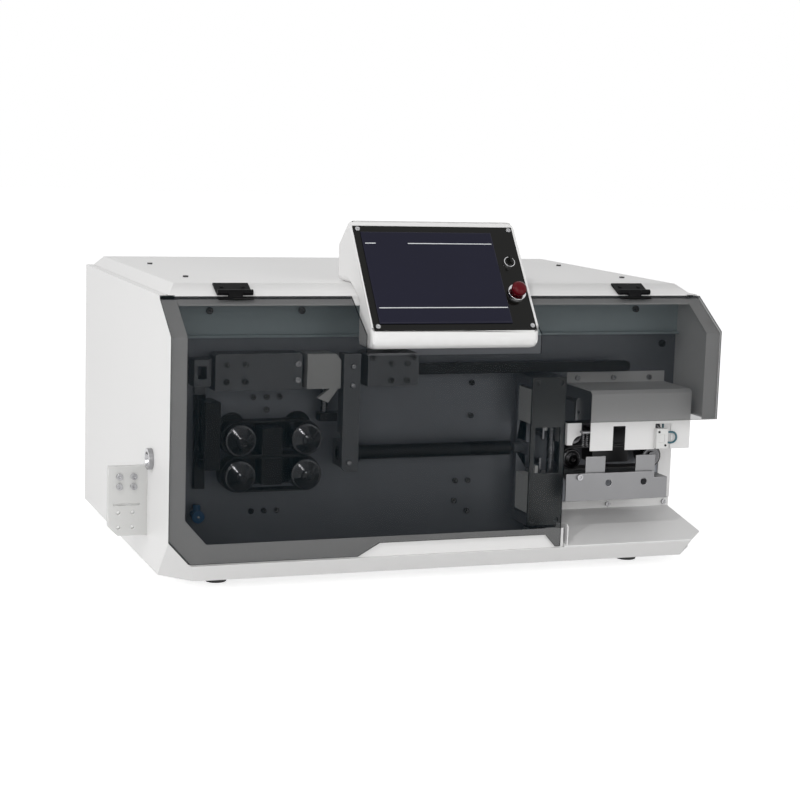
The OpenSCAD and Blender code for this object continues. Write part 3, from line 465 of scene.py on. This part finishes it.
def soften(node, width, segments=2, turned_about=None, material=None):
    """Piece that stands for a CAD node, with its hard edges rounded."""
    bm = merged_copy(node)
    round_edges(bm, hard_edges(bm), width, segments)
    if turned_about is not None:
        layer = bm.verts.layers.float.new("turned_radius")
        for v in bm.verts:
            v[layer] = math.hypot(v.co.x - turned_about[0], v.co.z - turned_about[2])
    obj = add_piece(node + "_finished", bm, BODY_OF[node], SLOT_OF[node], material)
    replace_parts(obj, node)


def split_node(node, width, parts):
    """Pieces that stand for the loose solids of a CAD node, as (ending, slot, test of a solid's middle)."""
    bm = merged_copy(node)
    bm.faces.index_update()
    left = set(bm.faces)
    islands = []
    while left:
        group, edge = set(), [left.pop()]
        while edge:
            face = edge.pop()
            group.add(face)
            fresh = [f for e in face.edges for f in e.link_faces if f in left]
            left.difference_update(fresh)
            edge.extend(fresh)
        points = [v.co for f in group for v in f.verts]
        middle = Vector([(min(p[i] for p in points) + max(p[i] for p in points)) / 2 for i in range(3)])
        islands.append((middle, [f.index for f in group]))
    for ending, slot, test in parts:
        keep = {i for middle, members in islands if test(middle) for i in members}
        part = bm.copy()
        part.faces.ensure_lookup_table()
        gone = [f for f in part.faces if f.index not in keep]
        bmesh.ops.delete(part, geom=gone, context="FACES")
        if not part.faces:
            raise ValueError(f"no solid of {node} is {ending}")
        round_edges(part, hard_edges(part), width)
        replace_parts(add_piece(f"{node}_{ending}", part, BODY_OF[node], slot), node)
    bm.free()


def split_at(node, width, place, out, parts):
    """Two closed pieces that stand for a CAD solid cut at a plane, as (ending, slot), the outer one first."""
    for side, (ending, slot) in zip((1, -1), parts):
        normal = Vector(out) * side
        bm = merged_copy(node)
        cut = bmesh.ops.bisect_plane(bm, geom=[*bm.verts, *bm.edges, *bm.faces], plane_co=place,
                                     plane_no=normal, clear_inner=True)
        rim = [e for e in cut["geom_cut"] if isinstance(e, bmesh.types.BMEdge)]
        lids = bmesh.ops.edgeloop_fill(bm, edges=rim)["faces"]
        if not lids:
            raise ValueError(f"the cut of {node} is not closed")
        for lid in lids:
            lid.normal_update()
            if lid.normal.dot(normal) > 0:
                lid.normal_flip()
        round_edges(bm, hard_edges(bm), width)
        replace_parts(add_piece(f"{node}_{ending}", bm, BODY_OF[node], slot), node)


def paint_node(node):
    """Gives a CAD node that keeps its own mesh its finish."""
    NODES[node].active_material = finish_for(SLOT_OF[node])


def face_matrix(u, v, w):
    """Place on the operator face: across it, up its slope and out of it."""
    return Matrix.Translation(FACE_POINT) @ Matrix.Rotation(FACE_TILT, 4, "X") @ Matrix.Translation((u, v, w))


def add_block(bm, lo, hi, edge=0.0, segments=2):
    """Box between two corners, with rounded edges, added to a bmesh."""
    size = Vector(hi) - Vector(lo)
    made = bmesh.ops.create_cube(bm, size=1.0, matrix=Matrix.Translation((Vector(lo) + Vector(hi)) / 2)
                                 @ Matrix.Diagonal((*size, 1.0)))
    if edge:
        edges = list({e for v in made["verts"] for e in v.link_edges})
        bmesh.ops.bevel(bm, geom=edges, offset=edge, offset_type="OFFSET", segments=segments, profile=0.5,
                        affect="EDGES", material=-1, clamp_overlap=True)


def lathe_piece(name, outline, matrix, body, slot, steps=32):
    """Turned piece: (radius, height) points spun about Z, with the radius kept for lathe rings."""
    bm = bmesh.new()
    verts = [bm.verts.new((r, 0.0, h)) for r, h in outline]
    edges = [bm.edges.new(pair) for pair in zip(verts, verts[1:])]
    bmesh.ops.spin(bm, geom=verts + edges, cent=(0, 0, 0), axis=(0, 0, 1), angle=2 * math.pi, steps=steps,
                   use_merge=True)
    bmesh.ops.remove_doubles(bm, verts=bm.verts, dist=1e-6)
    bmesh.ops.recalc_face_normals(bm, faces=bm.faces)
    layer = bm.verts.layers.float.new("turned_radius")
    for v in bm.verts:
        v[layer] = math.hypot(v.co.x, v.co.y)
    bmesh.ops.transform(bm, matrix=matrix, verts=bm.verts)
    return add_piece(name, bm, body, slot)


def facing_front(x, y, z):
    """Place of a turned piece whose axis points to the front of the machine."""
    return Matrix.Translation((x, y, z)) @ Matrix.Rotation(math.radians(90), 4, "X")


def socket_screw(name, place, body, slot, radius, flat, socket, top, shoulder, floor, seat, steps=24):
    """Socket screw: radii of its head, its flat top and its socket, then heights, and how deep it sits."""
    outline = [(0.0, floor), (socket, floor), (socket, top), (flat, top), (radius, shoulder), (radius, -seat),
               (0.0, -seat)]
    lathe_piece(name, outline, place, body, slot, steps)


def wheel_screw(node, joint, radius):
    """Socket screw that holds a wheel on its shaft."""
    centre = Vector(JOINTS[joint]["pos_m"])
    place = facing_front(centre.x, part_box(node)[0].y + 0.0035, centre.z)
    socket_screw(node + "_screw", place, BODY_OF[node], "screw_black", radius=radius, flat=radius * 0.86,
                 socket=radius * 0.52, top=0.0022, shoulder=0.0016, floor=0.0, seat=0.003)


def belt_ribs(node, sizes, half=None):
    """Cross ribs around the outside of a belt that runs round two pulleys."""
    lo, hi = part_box(node)
    belts = [(lo.z, hi.z)] if half is None else [(lo.z, lo.z + half), (hi.z - half, hi.z)]
    bm = bmesh.new()
    for z0, z1 in belts:
        radius, mid = (z1 - z0) / 2, (z0 + z1) / 2
        x0, x1 = lo.x + radius, hi.x - radius
        straight, bend = x1 - x0, math.pi * radius
        count = int(2 * (straight + bend) / sizes.rib_pitch)
        for i in range(count):
            s = i * 2 * (straight + bend) / count
            if s < straight:
                at, turn = (x0 + s, z1), 0.0
            elif s < straight + bend:
                turn = (s - straight) / radius
                at = (x1 + radius * math.sin(turn), mid + radius * math.cos(turn))
            elif s < 2 * straight + bend:
                turn = math.pi
                at = (x1 - (s - straight - bend), z0)
            else:
                turn = math.pi + (s - 2 * straight - bend) / radius
                at = (x0 + radius * math.sin(turn), mid + radius * math.cos(turn))
            place = Matrix.Translation((at[0], (lo.y + hi.y) / 2, at[1])) @ Matrix.Rotation(turn, 4, "Y")
            size = Matrix.Diagonal((sizes.rib_pitch * 0.45, (hi.y - lo.y) - 0.001, 2 * sizes.rib_height, 1.0))
            bmesh.ops.create_cube(bm, size=1.0, matrix=place @ size)
    add_piece(node + "_ribs", bm, BODY_OF[node], "rubber_black")


def arc(angle, steps=14):
    """Even steps from zero to an angle."""
    return [angle * i / steps for i in range(steps + 1)]


def seen_rays(nodes, links):
    """One for rays of the eye, of reflections and through glass, and zero for light on the object."""
    path = nodes.new("ShaderNodeLightPath")
    value = path.outputs["Is Camera Ray"]
    for kind in ("Is Glossy Ray", "Is Transmission Ray"):
        either = nodes.new("ShaderNodeMath")
        either.operation = "MAXIMUM"
        links.new(value, either.inputs[0])
        links.new(path.outputs[kind], either.inputs[1])
        value = either.outputs["Value"]
    return value


# Operators, one for each group of pieces

class FinishOperator(bpy.types.Operator):
    bl_options = {"REGISTER", "UNDO"}


class WIREMACHINE_OT_sensor_lead(FinishOperator):
    """Lead of the exit sensor: out of its side, round in a loop and back in through the guard's opening"""
    bl_idname = "wire_machine.sensor_lead"
    bl_label = "Sensor lead"

    def execute(self, context):
        diameter = context.scene.wire_machine_sizes.lead_diameter
        lo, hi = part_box("exit_sensor")
        loop, turn, rise = 0.008, 0.007, 0.036
        lead_out, level = 0.008, 0.001
        x, y, z = hi.x, (lo.y + hi.y) / 2, hi.z - 0.006
        points = [Vector((x, y, z))]
        middle = Vector((x + lead_out, y, z - loop))
        points += [middle + Vector((math.sin(a), 0, math.cos(a))) * loop for a in arc(math.pi)]
        middle = points[-1] + Vector((0, turn, 0))
        points += [middle + Vector((-math.sin(a), -math.cos(a), 0)) * turn for a in arc(math.pi / 2)]
        points.append(points[-1] + Vector((0, level, 0)))
        middle = points[-1] + Vector((0, 0, turn))
        points += [middle + Vector((0, math.sin(a), -math.cos(a))) * turn for a in arc(math.pi / 2)]
        points.append(points[-1] + Vector((0, 0, rise)))

        curve = bpy.data.curves.new("sensor_lead", "CURVE")
        curve.dimensions = "3D"
        curve.bevel_depth = diameter / 2
        curve.bevel_resolution = 4
        curve.use_fill_caps = True
        line = curve.splines.new("POLY")
        line.points.add(len(points) - 1)
        for point, place in zip(line.points, points):
            point.co = (*place, 1.0)
        curve.materials.append(finish_for("lead_teal"))
        lead = bpy.data.objects.new("sensor_lead", curve)
        context.scene.collection.objects.link(lead)
        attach(lead, "housing")
        self.clip(points[-1])
        return {"FINISHED"}

    def clip(self, end):
        """Clip on the inside of the guard that takes the end of the lead."""
        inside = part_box("outfeed_guard")[0].y + 0.002
        bm = bmesh.new()
        add_block(bm, (end.x - 0.005, inside, end.z - 0.010),
                  (end.x + 0.005, end.y + 0.004, end.z + 0.002), MOULDED_EDGE)
        add_piece("lead_clip", bm, "housing", "sensor_white")


class WIREMACHINE_OT_cabinet(FinishOperator):
    """Rounded, powder-coated cabinet panels, feet and their screws"""
    bl_idname = "wire_machine.cabinet"
    bl_label = "Cabinet"

    def execute(self, context):
        sizes = context.scene.wire_machine_sizes
        for node in ("base_pan", "left_side_panel", "right_side_panel", "rear_panel", "top_panel",
                     "front_frame"):
            soften(node, sizes.sheet_edge)
        soften("feet", FOOT_EDGE, 3)
        split_node("panel_screws", sizes.fine_edge, (
            ("cabinet", "screw_black", lambda p: not self.on_operator_plate(p)),
            ("operator_plate", "screw_steel", self.on_operator_plate),
        ))
        return {"FINISHED"}

    @staticmethod
    def on_operator_plate(point):
        out = Vector((0.0, -math.sin(FACE_TILT), math.cos(FACE_TILT)))
        return abs((point - FACE_POINT).dot(out)) < 0.004


class WIREMACHINE_OT_operator_panel(FinishOperator):
    """Operator box with its glossy plate, touch panel, lines, key switch and stop button"""
    bl_idname = "wire_machine.operator_panel"
    bl_label = "Operator panel"

    def execute(self, context):
        sizes = context.scene.wire_machine_sizes
        self.box(sizes)
        soften("hmi_plate", THIN_EDGE)
        soften("touch_panel", MOULDED_EDGE, 3)
        soften("switch_collars", sizes.fine_edge)
        soften("key_switch", THIN_EDGE)
        soften("stop_button", CASE_EDGE, 3)
        self.lines(sizes)
        return {"FINISHED"}

    def box(self, sizes):
        """White box with wide corners behind its face."""
        bm = merged_copy("hmi_box")
        lo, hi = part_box("hmi_box")
        inward = Vector((0.0, math.sin(FACE_TILT), -math.cos(FACE_TILT)))

        def corner(e):
            a, b = e.verts
            on_side = all(min(abs(v.co.x - lo.x), abs(v.co.x - hi.x)) < 1e-5 for v in e.verts)
            deep = ((a.co + b.co) / 2 - FACE_POINT).dot(inward) > 0.002
            return on_side and deep and (a.co - b.co).length > 0.005

        round_edges(bm, [e for e in hard_edges(bm) if corner(e)], sizes.box_corner, 5)
        layer = bm.faces.layers.float["edge"]

        def plain(e):
            return e.calc_length() > 0.004 and not any(f[layer] for f in e.link_faces)

        round_edges(bm, [e for e in hard_edges(bm, 40.0) if plain(e)], MOULDED_EDGE)
        obj = add_piece("hmi_box_finished", bm, "housing", "cabinet_white")
        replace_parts(obj, "hmi_box")

    def lines(self, sizes):
        """Two pale ruled lines of the touch panel, the upper one with a gap."""
        bm = bmesh.new()
        half, top = sizes.line_width / 2, 3.6 * MM
        for v, spans in ((145.5, ((-109.0, -93.5), (-45.5, 82.0))), (38.8, ((-108.5, 83.0),))):
            for u0, u1 in spans:
                add_block(bm, (u0 * MM, v * MM - half, top - 0.0002), (u1 * MM, v * MM + half, top + 0.00012))
        bmesh.ops.transform(bm, matrix=face_matrix(0, 0, 0), verts=bm.verts)
        add_piece("screen_lines", bm, "housing", "screen_navy", finish_for("screen_line"))


class WIREMACHINE_OT_cover(FinishOperator):
    """Smoked hinged cover with darker edges, and its two black hinges"""
    bl_idname = "wire_machine.cover"
    bl_label = "Cover"

    def execute(self, context):
        self.sheet()
        soften("hinge_fixed_leaves", THIN_EDGE)
        soften("hinge_moving_leaves", THIN_EDGE)
        return {"FINISHED"}

    def sheet(self):
        """Cover sheet whose sawn edges are marked, so that they look darker than its faces."""
        bm = merged_copy("cover")
        rim = bm.faces.layers.float.new("rim")
        for face in bm.faces:
            n = face.normal
            across = abs(n.x) > 0.5 or (abs(n.y) < 0.3 and abs(n.z) > 0.7) or face.calc_area() < 0.004
            face[rim] = 1.0 if across else 0.0
        round_edges(bm, hard_edges(bm), COVER_EDGE)
        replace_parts(add_piece("cover_finished", bm, BODY_OF["cover"], "smoked_acrylic"), "cover")


class WIREMACHINE_OT_bay(FinishOperator):
    """Mounting plate, fascia and the socket screws of the working bay"""
    bl_idname = "wire_machine.bay"
    bl_label = "Working bay"

    def execute(self, context):
        sizes = context.scene.wire_machine_sizes
        soften("mounting_plate", sizes.block_edge)
        soften("upper_fascia", sizes.block_edge)
        left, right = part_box("mounting_plate")[0].x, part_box("cutter_base")[1].x
        lo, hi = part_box("infeed_clamp_plate")

        def dark(p):
            """Screws up to the cutter are dark, but for those at the right end of the clamp plate."""
            at_clamp_end = abs(p.x - hi.x + 0.007) < 0.003 and p.y < lo.y + 0.02
            return left < p.x < right and not at_clamp_end

        split_node("plate_screws", sizes.fine_edge, (
            ("dark", "screw_black", dark),
            ("bright", "screw_steel", lambda p: not dark(p)),
        ))
        self.corner_screw()
        return {"FINISHED"}

    def corner_screw(self):
        """Larger socket screw in the upper right corner of the plate."""
        lo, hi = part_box("mounting_plate")
        place = facing_front(hi.x - 0.0237, lo.y, hi.z - 0.067)
        socket_screw("plate_corner_screw", place, BODY_OF["mounting_plate"], "screw_black", radius=0.0054,
                     flat=0.0046, socket=0.0026, top=0.004, shoulder=0.0032, floor=0.001, seat=0.002)


class WIREMACHINE_OT_infeed(FinishOperator):
    """Wire inlet, bracket, feed wheels, ribbed belts and carriers of the in-feed"""
    bl_idname = "wire_machine.infeed"
    bl_label = "In-feed"

    def execute(self, context):
        sizes = context.scene.wire_machine_sizes
        soften("inlet_bushing", TURNED_EDGE, material=finish_for("inlet_chrome"))
        for node in ("inlet_bracket", "infeed_lower_carrier", "infeed_upper_carrier"):
            soften(node, sizes.block_edge)
        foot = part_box("infeed_clamp_plate")[1].z - 0.060
        split_at("infeed_clamp_plate", sizes.block_edge, (0.0, 0.0, foot), (0.0, 0.0, 1.0),
                 (("plate", "dark_alloy"), ("inlet_block", "black_alloy")))
        soften("air_fitting", MOULDED_EDGE, 3)
        self.fitting_highlight_plug()
        for node in ("infeed_lower_belt", "infeed_upper_belt"):
            soften(node, sizes.fine_edge)
            belt_ribs(node, sizes)
        for node, joint in (("infeed_pulley_lower_left", "feed_idler"),
                            ("infeed_pulley_lower_right", "feed_drive"),
                            ("infeed_pulley_upper_left", "feed_upper_drive"),
                            ("infeed_pulley_upper_right", "feed_upper_idler")):
            self.wheel(node, joint)
            wheel_screw(node, joint, radius=0.0042)
        for node in ("infeed_lower_motor", "infeed_upper_motor"):
            paint_node(node)
        return {"FINISHED"}

    def fitting_highlight_plug(self):
        """Bright chrome plug in the front of the air fitting, put there as a painted highlight for the white glint
        on the fitting's front.
        """
        lo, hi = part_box("air_fitting")
        outline = [(0.0, 0.0016), (0.0011, 0.0014), (0.0019, 0.0008), (0.0022, 0.0), (0.0022, -0.002),
                   (0.0, -0.002)]
        place = facing_front((lo.x + hi.x) / 2, lo.y, lo.z + 0.009)
        lathe_piece("air_fitting_highlight_plug", outline, place, BODY_OF["air_fitting"], "chrome", 24)

    def wheel(self, node, joint):
        """Turned wheel: a long drum, a polished cone and a short hub, heights from the mounting plate."""
        centre, plate = JOINTS[joint]["pos_m"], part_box("mounting_plate")[0].y
        outline = ((0, -28), (7.4, -28), (8, -27.4), (8, 12), (21.9, 12), (22.5, 12.6), (22.5, 49),
                   (22.2, 50), (21.4, 50.8), (20.5, 51), (19.5, 51.2), (19.1, 51.51), (9.9, 58.62),
                   (9.5, 58.93), (9, 59.6), (9, 63.4), (6.2, 65.5), (5.6, 66.4), (5.2, 67), (4.5, 67),
                   (4.5, 61), (0, 61))
        place = facing_front(centre[0], plate, centre[2])
        obj = lathe_piece(node + "_finished", [(r * MM, h * MM) for r, h in outline], place, BODY_OF[node],
                          SLOT_OF[node], 72)
        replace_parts(obj, node)


class WIREMACHINE_OT_guide(FinishOperator):
    """Guide rail, lift cylinder, arm and guide tube"""
    bl_idname = "wire_machine.guide"
    bl_label = "Guide tube"

    def execute(self, context):
        sizes = context.scene.wire_machine_sizes
        for node in ("guide_rail", "rail_clamp"):
            soften(node, sizes.block_edge)
        soften("lift_cylinder", sizes.block_edge, material=finish_for("lift_block"))
        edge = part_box("tube_arm")[1].x - 0.0255
        split_at("tube_arm", sizes.block_edge, (edge, 0.0, 0.0), (1.0, 0.0, 0.0),
                 (("front", "dark_alloy"), ("rod_bracket", "black_alloy")))
        soften("lift_rod", sizes.fine_edge, material=finish_for("ground_rod"))
        soften("guide_tube", TURNED_EDGE)
        self.arm_screws()
        return {"FINISHED"}

    def arm_screws(self):
        """Socket screws in the three holes of the arm."""
        lo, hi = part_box("tube_arm")
        edge, foot = hi.x - 0.025, lo.z + 0.013
        holes = ((edge + 0.014, hi.z - 0.018), (edge + 0.014, hi.z - 0.045), (edge + 0.011, foot))
        for i, (x, z) in enumerate(holes):
            socket_screw(f"tube_arm_screw_{i}", facing_front(x, lo.y, z), BODY_OF["tube_arm"], "screw_steel",
                         radius=0.0037, flat=0.0030, socket=0.0019, top=0.0022, shoulder=0.0015, floor=0.0004,
                         seat=0.0028)


class WIREMACHINE_OT_cutter(FinishOperator):
    """Cutter head with its carriages, blades and lead screw"""
    bl_idname = "wire_machine.cutter"
    bl_label = "Cutter head"

    def execute(self, context):
        sizes = context.scene.wire_machine_sizes
        soften("cutter_base", sizes.block_edge)
        for node in ("upper_carriage", "lower_carriage"):
            soften(node, sizes.block_edge, material=finish_for("carriage_face"))
        soften("cutter_front_plate", sizes.block_edge, material=finish_for("cutter_front"))
        for node in ("upper_blade", "lower_blade"):
            soften(node, BLADE_EDGE)
        for node in ("lead_screw", "cutter_motor"):
            paint_node(node)
        return {"FINISHED"}


class WIREMACHINE_OT_outfeed(FinishOperator):
    """Out-feed guard, bracket, wheels, belts, springs, sensor and delivery tray"""
    bl_idname = "wire_machine.outfeed"
    bl_label = "Out-feed"

    def execute(self, context):
        sizes = context.scene.wire_machine_sizes
        for node in ("outfeed_guard", "tray"):
            soften(node, sizes.sheet_edge)
        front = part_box("outfeed_bracket")[0].y
        split_node("outfeed_bracket", sizes.sheet_edge, (
            ("plate", "zinc_steel", lambda p: p.y < front + 0.06),
            ("press_bars", "black_alloy", lambda p: p.y >= front + 0.06),
        ))
        soften("outfeed_belts", sizes.fine_edge)
        belt_ribs("outfeed_belts", sizes, half=0.0346)
        for node, joint in (("outfeed_pulley_lower_left", "out_idler"),
                            ("outfeed_pulley_lower_right", "out_drive"),
                            ("outfeed_pulley_upper_left", "out_upper_idler"),
                            ("outfeed_pulley_upper_right", "out_upper_drive")):
            soften(node, THIN_EDGE, 2, JOINTS[joint]["pos_m"])
            wheel_screw(node, joint, radius=0.0028)
        paint_node("outfeed_motor")
        soften("exit_sensor", CASE_EDGE)
        self.sensor_screws()
        self.press_springs(sizes)
        return {"FINISHED"}

    def sensor_screws(self):
        """Two small screws in opposite corners of the sensor."""
        lo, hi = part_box("exit_sensor")
        for i, (x, z) in enumerate(((lo.x + 0.004, hi.z - 0.005), (hi.x - 0.004, lo.z + 0.005))):
            socket_screw(f"exit_sensor_screw_{i}", facing_front(x, lo.y, z), "housing", "screw_black",
                         radius=0.0018, flat=0.0015, socket=0.0009, top=0.0012, shoulder=0.0008, floor=0.0004,
                         seat=0.001, steps=20)

    def press_springs(self, sizes):
        """Two small springs that hang from a tab inside the guard's left edge."""
        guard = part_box("outfeed_guard")
        inside, top = guard[0].y + 0.002, guard[0].z + 0.026
        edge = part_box("outfeed_pulley_upper_left")[1].x - 0.010
        bm = bmesh.new()
        add_block(bm, (edge - 0.012, inside, top), (edge + 0.008, inside + 0.010, top + 0.003), THIN_EDGE)
        add_piece("spring_tab", bm, "housing", "zinc_steel")
        turns, steps, drop, wire = sizes.spring_turns, 20, 0.020, 0.0004
        for i, x in enumerate((edge - 0.008, edge - 0.002)):
            bm = bmesh.new()
            ring = bmesh.ops.create_circle(bm, radius=wire, segments=8, matrix=facing_front(0.0016, 0, 0))
            edges = list({e for v in ring["verts"] for e in v.link_edges})
            bmesh.ops.spin(bm, geom=ring["verts"] + edges, cent=(0, 0, 0), axis=(0, 0, 1),
                           angle=2 * math.pi * turns, steps=steps * turns,
                           dvec=(0, 0, -drop / (steps * turns)))
            bmesh.ops.holes_fill(bm, edges=bm.edges, sides=8)
            bmesh.ops.recalc_face_normals(bm, faces=bm.faces)
            place = Matrix.Translation((x, inside + 0.005, top + 0.0002))
            bmesh.ops.transform(bm, matrix=place, verts=bm.verts)
            add_piece(f"press_spring_{i}", bm, "housing", "screw_steel")


class WIREMACHINE_OT_rear(FinishOperator):
    """Mains inlet with its pins and rocker, and the controller box"""
    bl_idname = "wire_machine.rear"
    bl_label = "Rear"

    def execute(self, context):
        soften("power_inlet", CASE_EDGE)
        paint_node("controller_box")
        lo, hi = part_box("power_inlet")
        bm = bmesh.new()
        for dx, dz in ((-0.0075, 0.002), (0.0075, 0.002), (0.0, -0.005)):
            x, z = lo.x + 0.028 + dx, (lo.z + hi.z) / 2 + dz
            add_block(bm, (x - 0.001, hi.y - 0.0155, z - 0.003), (x + 0.001, hi.y - 0.005, z + 0.003),
                      THIN_EDGE)
        add_piece("inlet_pins", bm, "housing", "chrome")
        bm = bmesh.new()
        x, z = hi.x - 0.0145, (lo.z + hi.z) / 2
        add_block(bm, (x - 0.004, hi.y - 0.0045, z - 0.0112), (x + 0.004, hi.y + 0.001, z + 0.0112),
                  MOULDED_EDGE, 3)
        bmesh.ops.transform(bm, matrix=Matrix.Rotation(math.radians(7), 4, "X"),
                            space=Matrix.Translation((-x, 0.001 - hi.y, -z)), verts=bm.verts)
        add_piece("inlet_rocker", bm, "housing", "panel_black")
        return {"FINISHED"}


class WIREMACHINE_OT_stage(bpy.types.Operator):
    """Pale floor, soft studio light and the camera"""
    bl_idname = "wire_machine.stage"
    bl_label = "Stage"

    def execute(self, context):
        scene = context.scene
        scene.view_settings.view_transform = "Standard"
        self.camera(scene)
        self.world(scene)
        self.floor(scene)
        for name, at, to, size, power in LAMPS:
            lamp = bpy.data.lights.new(name, "AREA")
            lamp.shape, lamp.size, lamp.energy = "DISK", size, power
            obj = bpy.data.objects.new(name, lamp)
            obj.location = at
            obj.rotation_mode = "QUATERNION"
            obj.rotation_quaternion = (Vector(to) - Vector(at)).to_track_quat("-Z", "Y")
            scene.collection.objects.link(obj)
        return {"FINISHED"}

    def camera(self, scene):
        """Camera fitted to the photograph: yaw to the right, pitch down and a small roll."""
        yaw, pitch, roll = CAMERA_YAW, CAMERA_PITCH, CAMERA_ROLL
        right = Vector((math.cos(yaw), -math.sin(yaw), 0.0))
        ahead = Vector((math.sin(yaw), math.cos(yaw), 0.0))
        down = -(Vector((0, 0, 1)) * math.cos(pitch) + ahead * math.sin(pitch))
        look = ahead * math.cos(pitch) - Vector((0, 0, 1)) * math.sin(pitch)
        across = right * math.cos(roll) - down * math.sin(roll)
        below = right * math.sin(roll) + down * math.cos(roll)
        turn = Matrix((across, -below, -look)).transposed()
        lens = bpy.data.cameras.new("photo_camera")
        lens.sensor_width = SENSOR_WIDTH
        lens.lens = FOCAL_PIXELS / PICTURE_PIXELS * SENSOR_WIDTH
        lens.clip_end = 50.0
        cam = bpy.data.objects.new("photo_camera", lens)
        cam.matrix_world = Matrix.Translation(Vector(CAMERA_PLACE) * MM) @ turn.to_4x4()
        scene.collection.objects.link(cam)
        scene.camera = cam

    def world(self, scene):
        """White to the eye and in reflections, softer as light."""
        world = bpy.data.worlds.new("soft_studio")
        world.use_nodes = True
        scene.world = world
        nodes, links = world.node_tree.nodes, world.node_tree.links
        back = nodes["Background"]
        back.inputs["Color"].default_value = (1.0, 1.0, 1.0, 1.0)
        level = nodes.new("ShaderNodeMapRange")
        level.inputs["To Min"].default_value = AMBIENT_LEVEL
        level.inputs["To Max"].default_value = 1.0
        links.new(seen_rays(nodes, links), level.inputs["Value"])
        links.new(level.outputs["Result"], back.inputs["Strength"])

    def floor(self, scene):
        """Wide round ground under the machine."""
        bm = bmesh.new()
        bmesh.ops.create_circle(bm, cap_ends=True, radius=14.0, segments=96)
        mesh = bpy.data.meshes.new("floor")
        bm.to_mesh(mesh)
        bm.free()
        floor = bpy.data.objects.new("floor", mesh)
        scene.collection.objects.link(floor)
        mesh.materials.append(self.white_ground())

    def white_ground(self):
        """Pale ground that is lifted to white for the eye and in reflections, and keeps the shadow."""
        mat = bpy.data.materials.new("white_ground")
        mat.use_nodes = True
        nodes, links = mat.node_tree.nodes, mat.node_tree.links
        shader = nodes["Principled BSDF"]
        shader.inputs["Base Color"].default_value = (0.80, 0.80, 0.80, 1.0)
        shader.inputs["Roughness"].default_value = 0.8
        shader.inputs["Specular IOR Level"].default_value = 0.0
        shader.inputs["Emission Color"].default_value = (1.0, 1.0, 1.0, 1.0)
        lift = nodes.new("ShaderNodeMath")
        lift.operation = "MULTIPLY"
        lift.inputs[1].default_value = GROUND_LIFT
        links.new(seen_rays(nodes, links), lift.inputs[0])
        links.new(lift.outputs["Value"], shader.inputs["Emission Strength"])
        return mat


class WIREMACHINE_PT_panel(bpy.types.Panel):
    bl_idname = "WIREMACHINE_PT_panel"
    bl_label = "Wire machine"
    bl_space_type = "VIEW_3D"
    bl_region_type = "UI"
    bl_category = "Wire machine"

    def draw(self, context):
        for operator in OPERATORS:
            self.layout.operator(operator.bl_idname)
        for group in (context.scene.wire_machine_sizes, context.scene.wire_machine_colours):
            for name in group.bl_rna.properties.keys():
                if name not in ("rna_type", "name"):
                    self.layout.prop(group, name)


OPERATORS = (
    WIREMACHINE_OT_stage,
    WIREMACHINE_OT_sensor_lead,
    WIREMACHINE_OT_cabinet,
    WIREMACHINE_OT_operator_panel,
    WIREMACHINE_OT_cover,
    WIREMACHINE_OT_bay,
    WIREMACHINE_OT_infeed,
    WIREMACHINE_OT_guide,
    WIREMACHINE_OT_cutter,
    WIREMACHINE_OT_outfeed,
    WIREMACHINE_OT_rear,
)
CLASSES = (WireMachineSizes, WireMachineColours, *OPERATORS, WIREMACHINE_PT_panel)


def register():
    for cls in CLASSES:
        bpy.utils.register_class(cls)
    bpy.types.Scene.wire_machine_sizes = PointerProperty(type=WireMachineSizes)
    bpy.types.Scene.wire_machine_colours = PointerProperty(type=WireMachineColours)


def unregister():
    del bpy.types.Scene.wire_machine_colours
    del bpy.types.Scene.wire_machine_sizes
    for cls in reversed(CLASSES):
        bpy.utils.unregister_class(cls)


def main():
    register()
    for operator in OPERATORS:
        group, name = operator.bl_idname.split(".")
        getattr(getattr(bpy.ops, group), name)()


if __name__ == "__main__":
    main()
